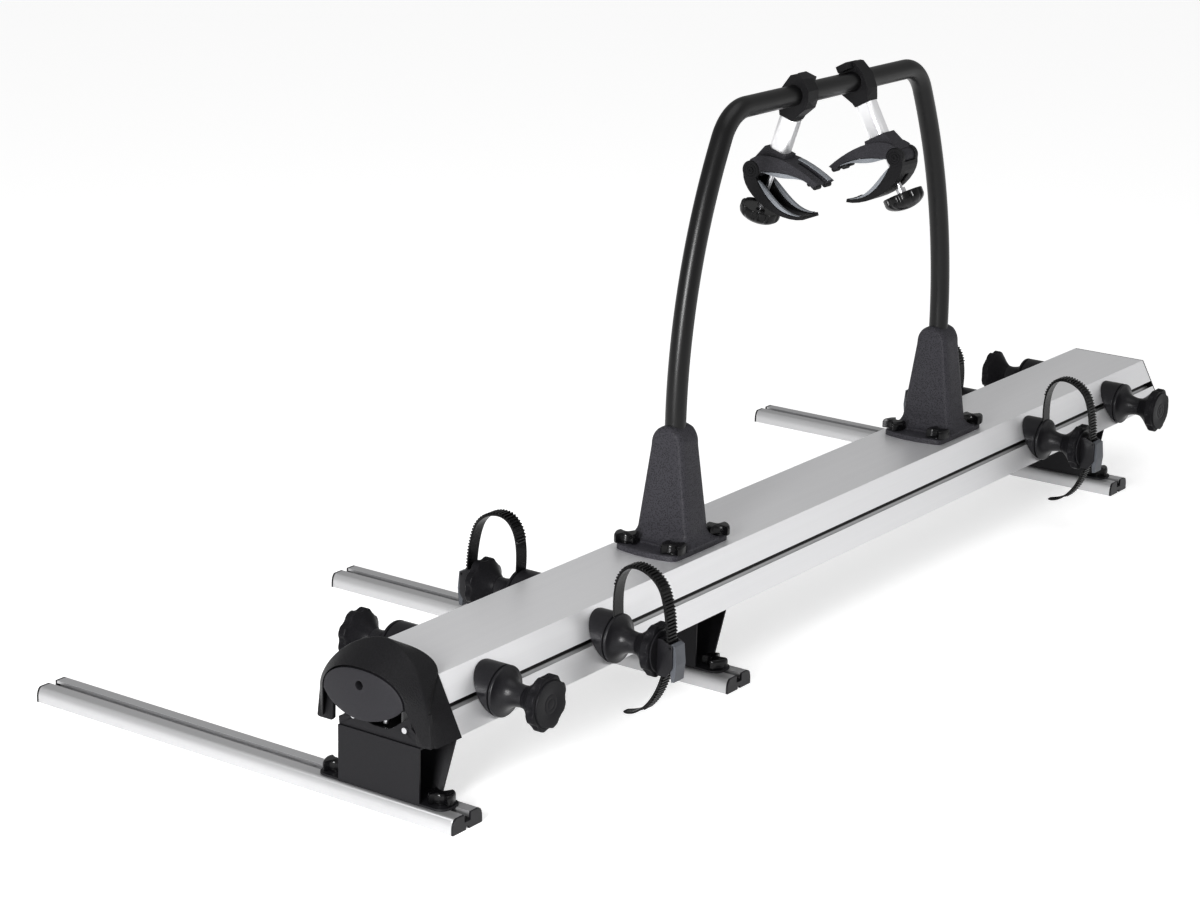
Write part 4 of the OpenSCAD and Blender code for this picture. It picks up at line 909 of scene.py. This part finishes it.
def grip_knob():
    """Domed knob: its rim is fluted by shallow grooves that fade out up the dome."""
    t = np.linspace(0, 2 * np.pi, 160, endpoint=False)
    groove = np.clip(np.cos(FLUTES * t) * 1.6 - 0.5, 0, 1)
    dome = [(GRIP_KNOB_R * math.cos(a), DOME_START + DOME_RISE * math.sin(a), max(0.0, 1 - a * 1.1))
            for a in np.linspace(0, np.pi / 2, 18)[:-1]]
    rows = GRIP_KNOB_FOOT + dome + [(1.5, DOME_START + DOME_RISE, 0)]
    r, down, share = np.array(rows, float).T[..., None]
    r = r - FLUTE_DEPTH * share * groove
    return np.stack([r * np.cos(t), r * np.sin(t), down + 0 * t], -1)


def pivot_cover(y, out):
    """Round cover on a cheek of the jaws, with two fine rings and the hexagon socket of a screw."""
    t = np.linspace(0, 2 * np.pi, 60, endpoint=False)
    hexagon = SOCKET_HALF / np.cos((t + np.pi / 6) % (np.pi / 3) - np.pi / 6)
    rings = [(r + 0 * t, h) for r, h in COVER_RINGS] + [(hexagon * k, h) for k, h in SOCKET_RINGS]
    return np.array([np.stack([PIVOT[0] + r * np.cos(t), 0 * t + y + out * h, PIVOT[1] + r * np.sin(t)], -1)
                     for r, h in rings])


def tip_roller(out, down, radius, y0, y1):
    """Small round-ended roller across a jaw's tip."""
    y = np.array([y0, y0 + 0.5, y0 + 1.5, y1 - 1.5, y1 - 0.5, y1])[:, None]
    r = np.array([0.4, 0.82, 1, 1, 0.82, 0.4])[:, None] * radius
    c, s = circle(24)
    return np.stack([out + r * c, y + 0 * c, down + r * s], -1)


def fitted(side, grids):
    """Each surface of a piece, in its place on one grip."""
    return [on_arm(side, grid) for grid in grids]


share = np.linspace(0, 1, 30)
upper_swell = 0.6 + 7.4 * np.sin(np.pi * share ** 1.5) ** 1.1
lower_swell = 0.8 + 6.2 * np.sin(np.pi * share ** 0.75)
upper_pads = [band(stretch(UPPER_MOUTH, 0.16, 0.95, 30), -upper_swell, -21, 21),
              band(stretch(UPPER_BACK, 0.62, 0.985, 24), np.full(24, 0.7), 8, 18.5)]
lower_pads = [band(stretch(LOWER_MOUTH, 0.04, 0.94, 30)[::-1], -lower_swell, a, b)
              for a, b in ((-22, -15.6), (15.6, 22))]
upper_tips = [tip_roller(*tip, a, b) for a, b in ((-TIP_Y, -6), (6, TIP_Y)) for tip in UPPER_TIPS]
lower_tips = [tip_roller(*LOWER_TIP, a, b) for a, b in ((-TIP_Y, -9), (9, TIP_Y))]
covers = [pivot_cover(cheek * COVER_Y, cheek) for cheek in (-1, 1)]
for side in GRIPS:
    grip, jaw, knob = "grip_" + side, "lower_jaw_" + side, "clamp_knob_" + side
    piece("clamp_knob_shell_" + side, fitted(side, [grip_knob()]), knob_plastic, knob, [knob])
    piece("upper_pads_" + side, fitted(side, upper_pads), pad_rubber, grip, smooth=40)
    piece("lower_pads_" + side, fitted(side, lower_pads), pad_rubber, jaw, smooth=40)
    piece("upper_tips_" + side, fitted(side, upper_tips), body_plastic, grip)
    piece("lower_tips_" + side, fitted(side, lower_tips), body_plastic, jaw)
    piece("pivot_covers_" + side, fitted(side, covers), body_plastic, jaw)


# Floor and light
FAR_LEFT = (-0.62, 0.76, 0.2)
FLOOR_HALF = 30.0
FLOOR_SUNK = 0.0003                   # below the rails' faces


def floor():
    """Flat, pale studio floor."""
    steps = np.linspace(-FLOOR_HALF, FLOOR_HALF, 24)
    x, y = np.meshgrid(steps, steps)
    points, faces = net(np.stack([x, y, 0 * x - FLOOR_SUNK], -1))
    mesh = bpy.data.meshes.new("floor")
    mesh.from_pydata(points.tolist(), [], faces)
    obj = bpy.data.objects.new("floor", mesh)
    scene.collection.objects.link(obj)
    p = Paint("floor_paint")
    p.set(Base_Color=shade(0.6, NEUTRAL), Roughness=0.8, Emission_Color=(1, 1, 1, 1), Emission_Strength=0.62)
    mesh.materials.append(p.material)


def softbox(name, place, target, size, power):
    """A rectangular lamp at a place, turned towards its target, that the camera doesn't see."""
    data = bpy.data.lights.new(name, "AREA")
    data.shape = "RECTANGLE"
    data.size, data.size_y = size
    data.energy = power
    obj = bpy.data.objects.new(name, data)
    back = Vector(place) - Vector(target)
    obj.rotation_euler = back.to_track_quat("Z", "Y").to_euler()
    obj.location = place
    obj.visible_camera = False
    scene.collection.objects.link(obj)


def daylight():
    """Even sky that is a little darker towards the far left, so that the beam's top reads grey."""
    world = bpy.data.worlds.new("studio")
    scene.world = world
    world.use_nodes = True
    p = Paint("studio", world.node_tree)
    where = p.node("ShaderNodeTexCoord", out=0)
    side = p.node("ShaderNodeVectorMath", {"operation": "DOT_PRODUCT"}, {0: where, 1: FAR_LEFT}, out=1)
    seen = p.node("ShaderNodeLightPath")
    light = p.ease(side, 0.2, 0.95, 0.56, 0.4)
    back = next(n for n in world.node_tree.nodes if n.type == "BACKGROUND")
    p.feed(back, {"Color": (1, 1, 1, 1), "Strength": light + seen * (1.0 - light)})


floor()
daylight()
softbox("right_panel", (3.2, 3.4, 1.3), (0, 1.0, 0.3), (3.0, 2.2), 7)
softbox("front_panel", (0.6, -2.1, 1.05), (0, 0.6, 0.55), (0.55, 1.2), 90)
softbox("top_panel", (0.6, 0.8, 3.6), (0, 0.9, 0.2), (2.6, 2.6), 30)
scene.view_settings.view_transform = "Standard"
scene.view_settings.gamma = 0.88
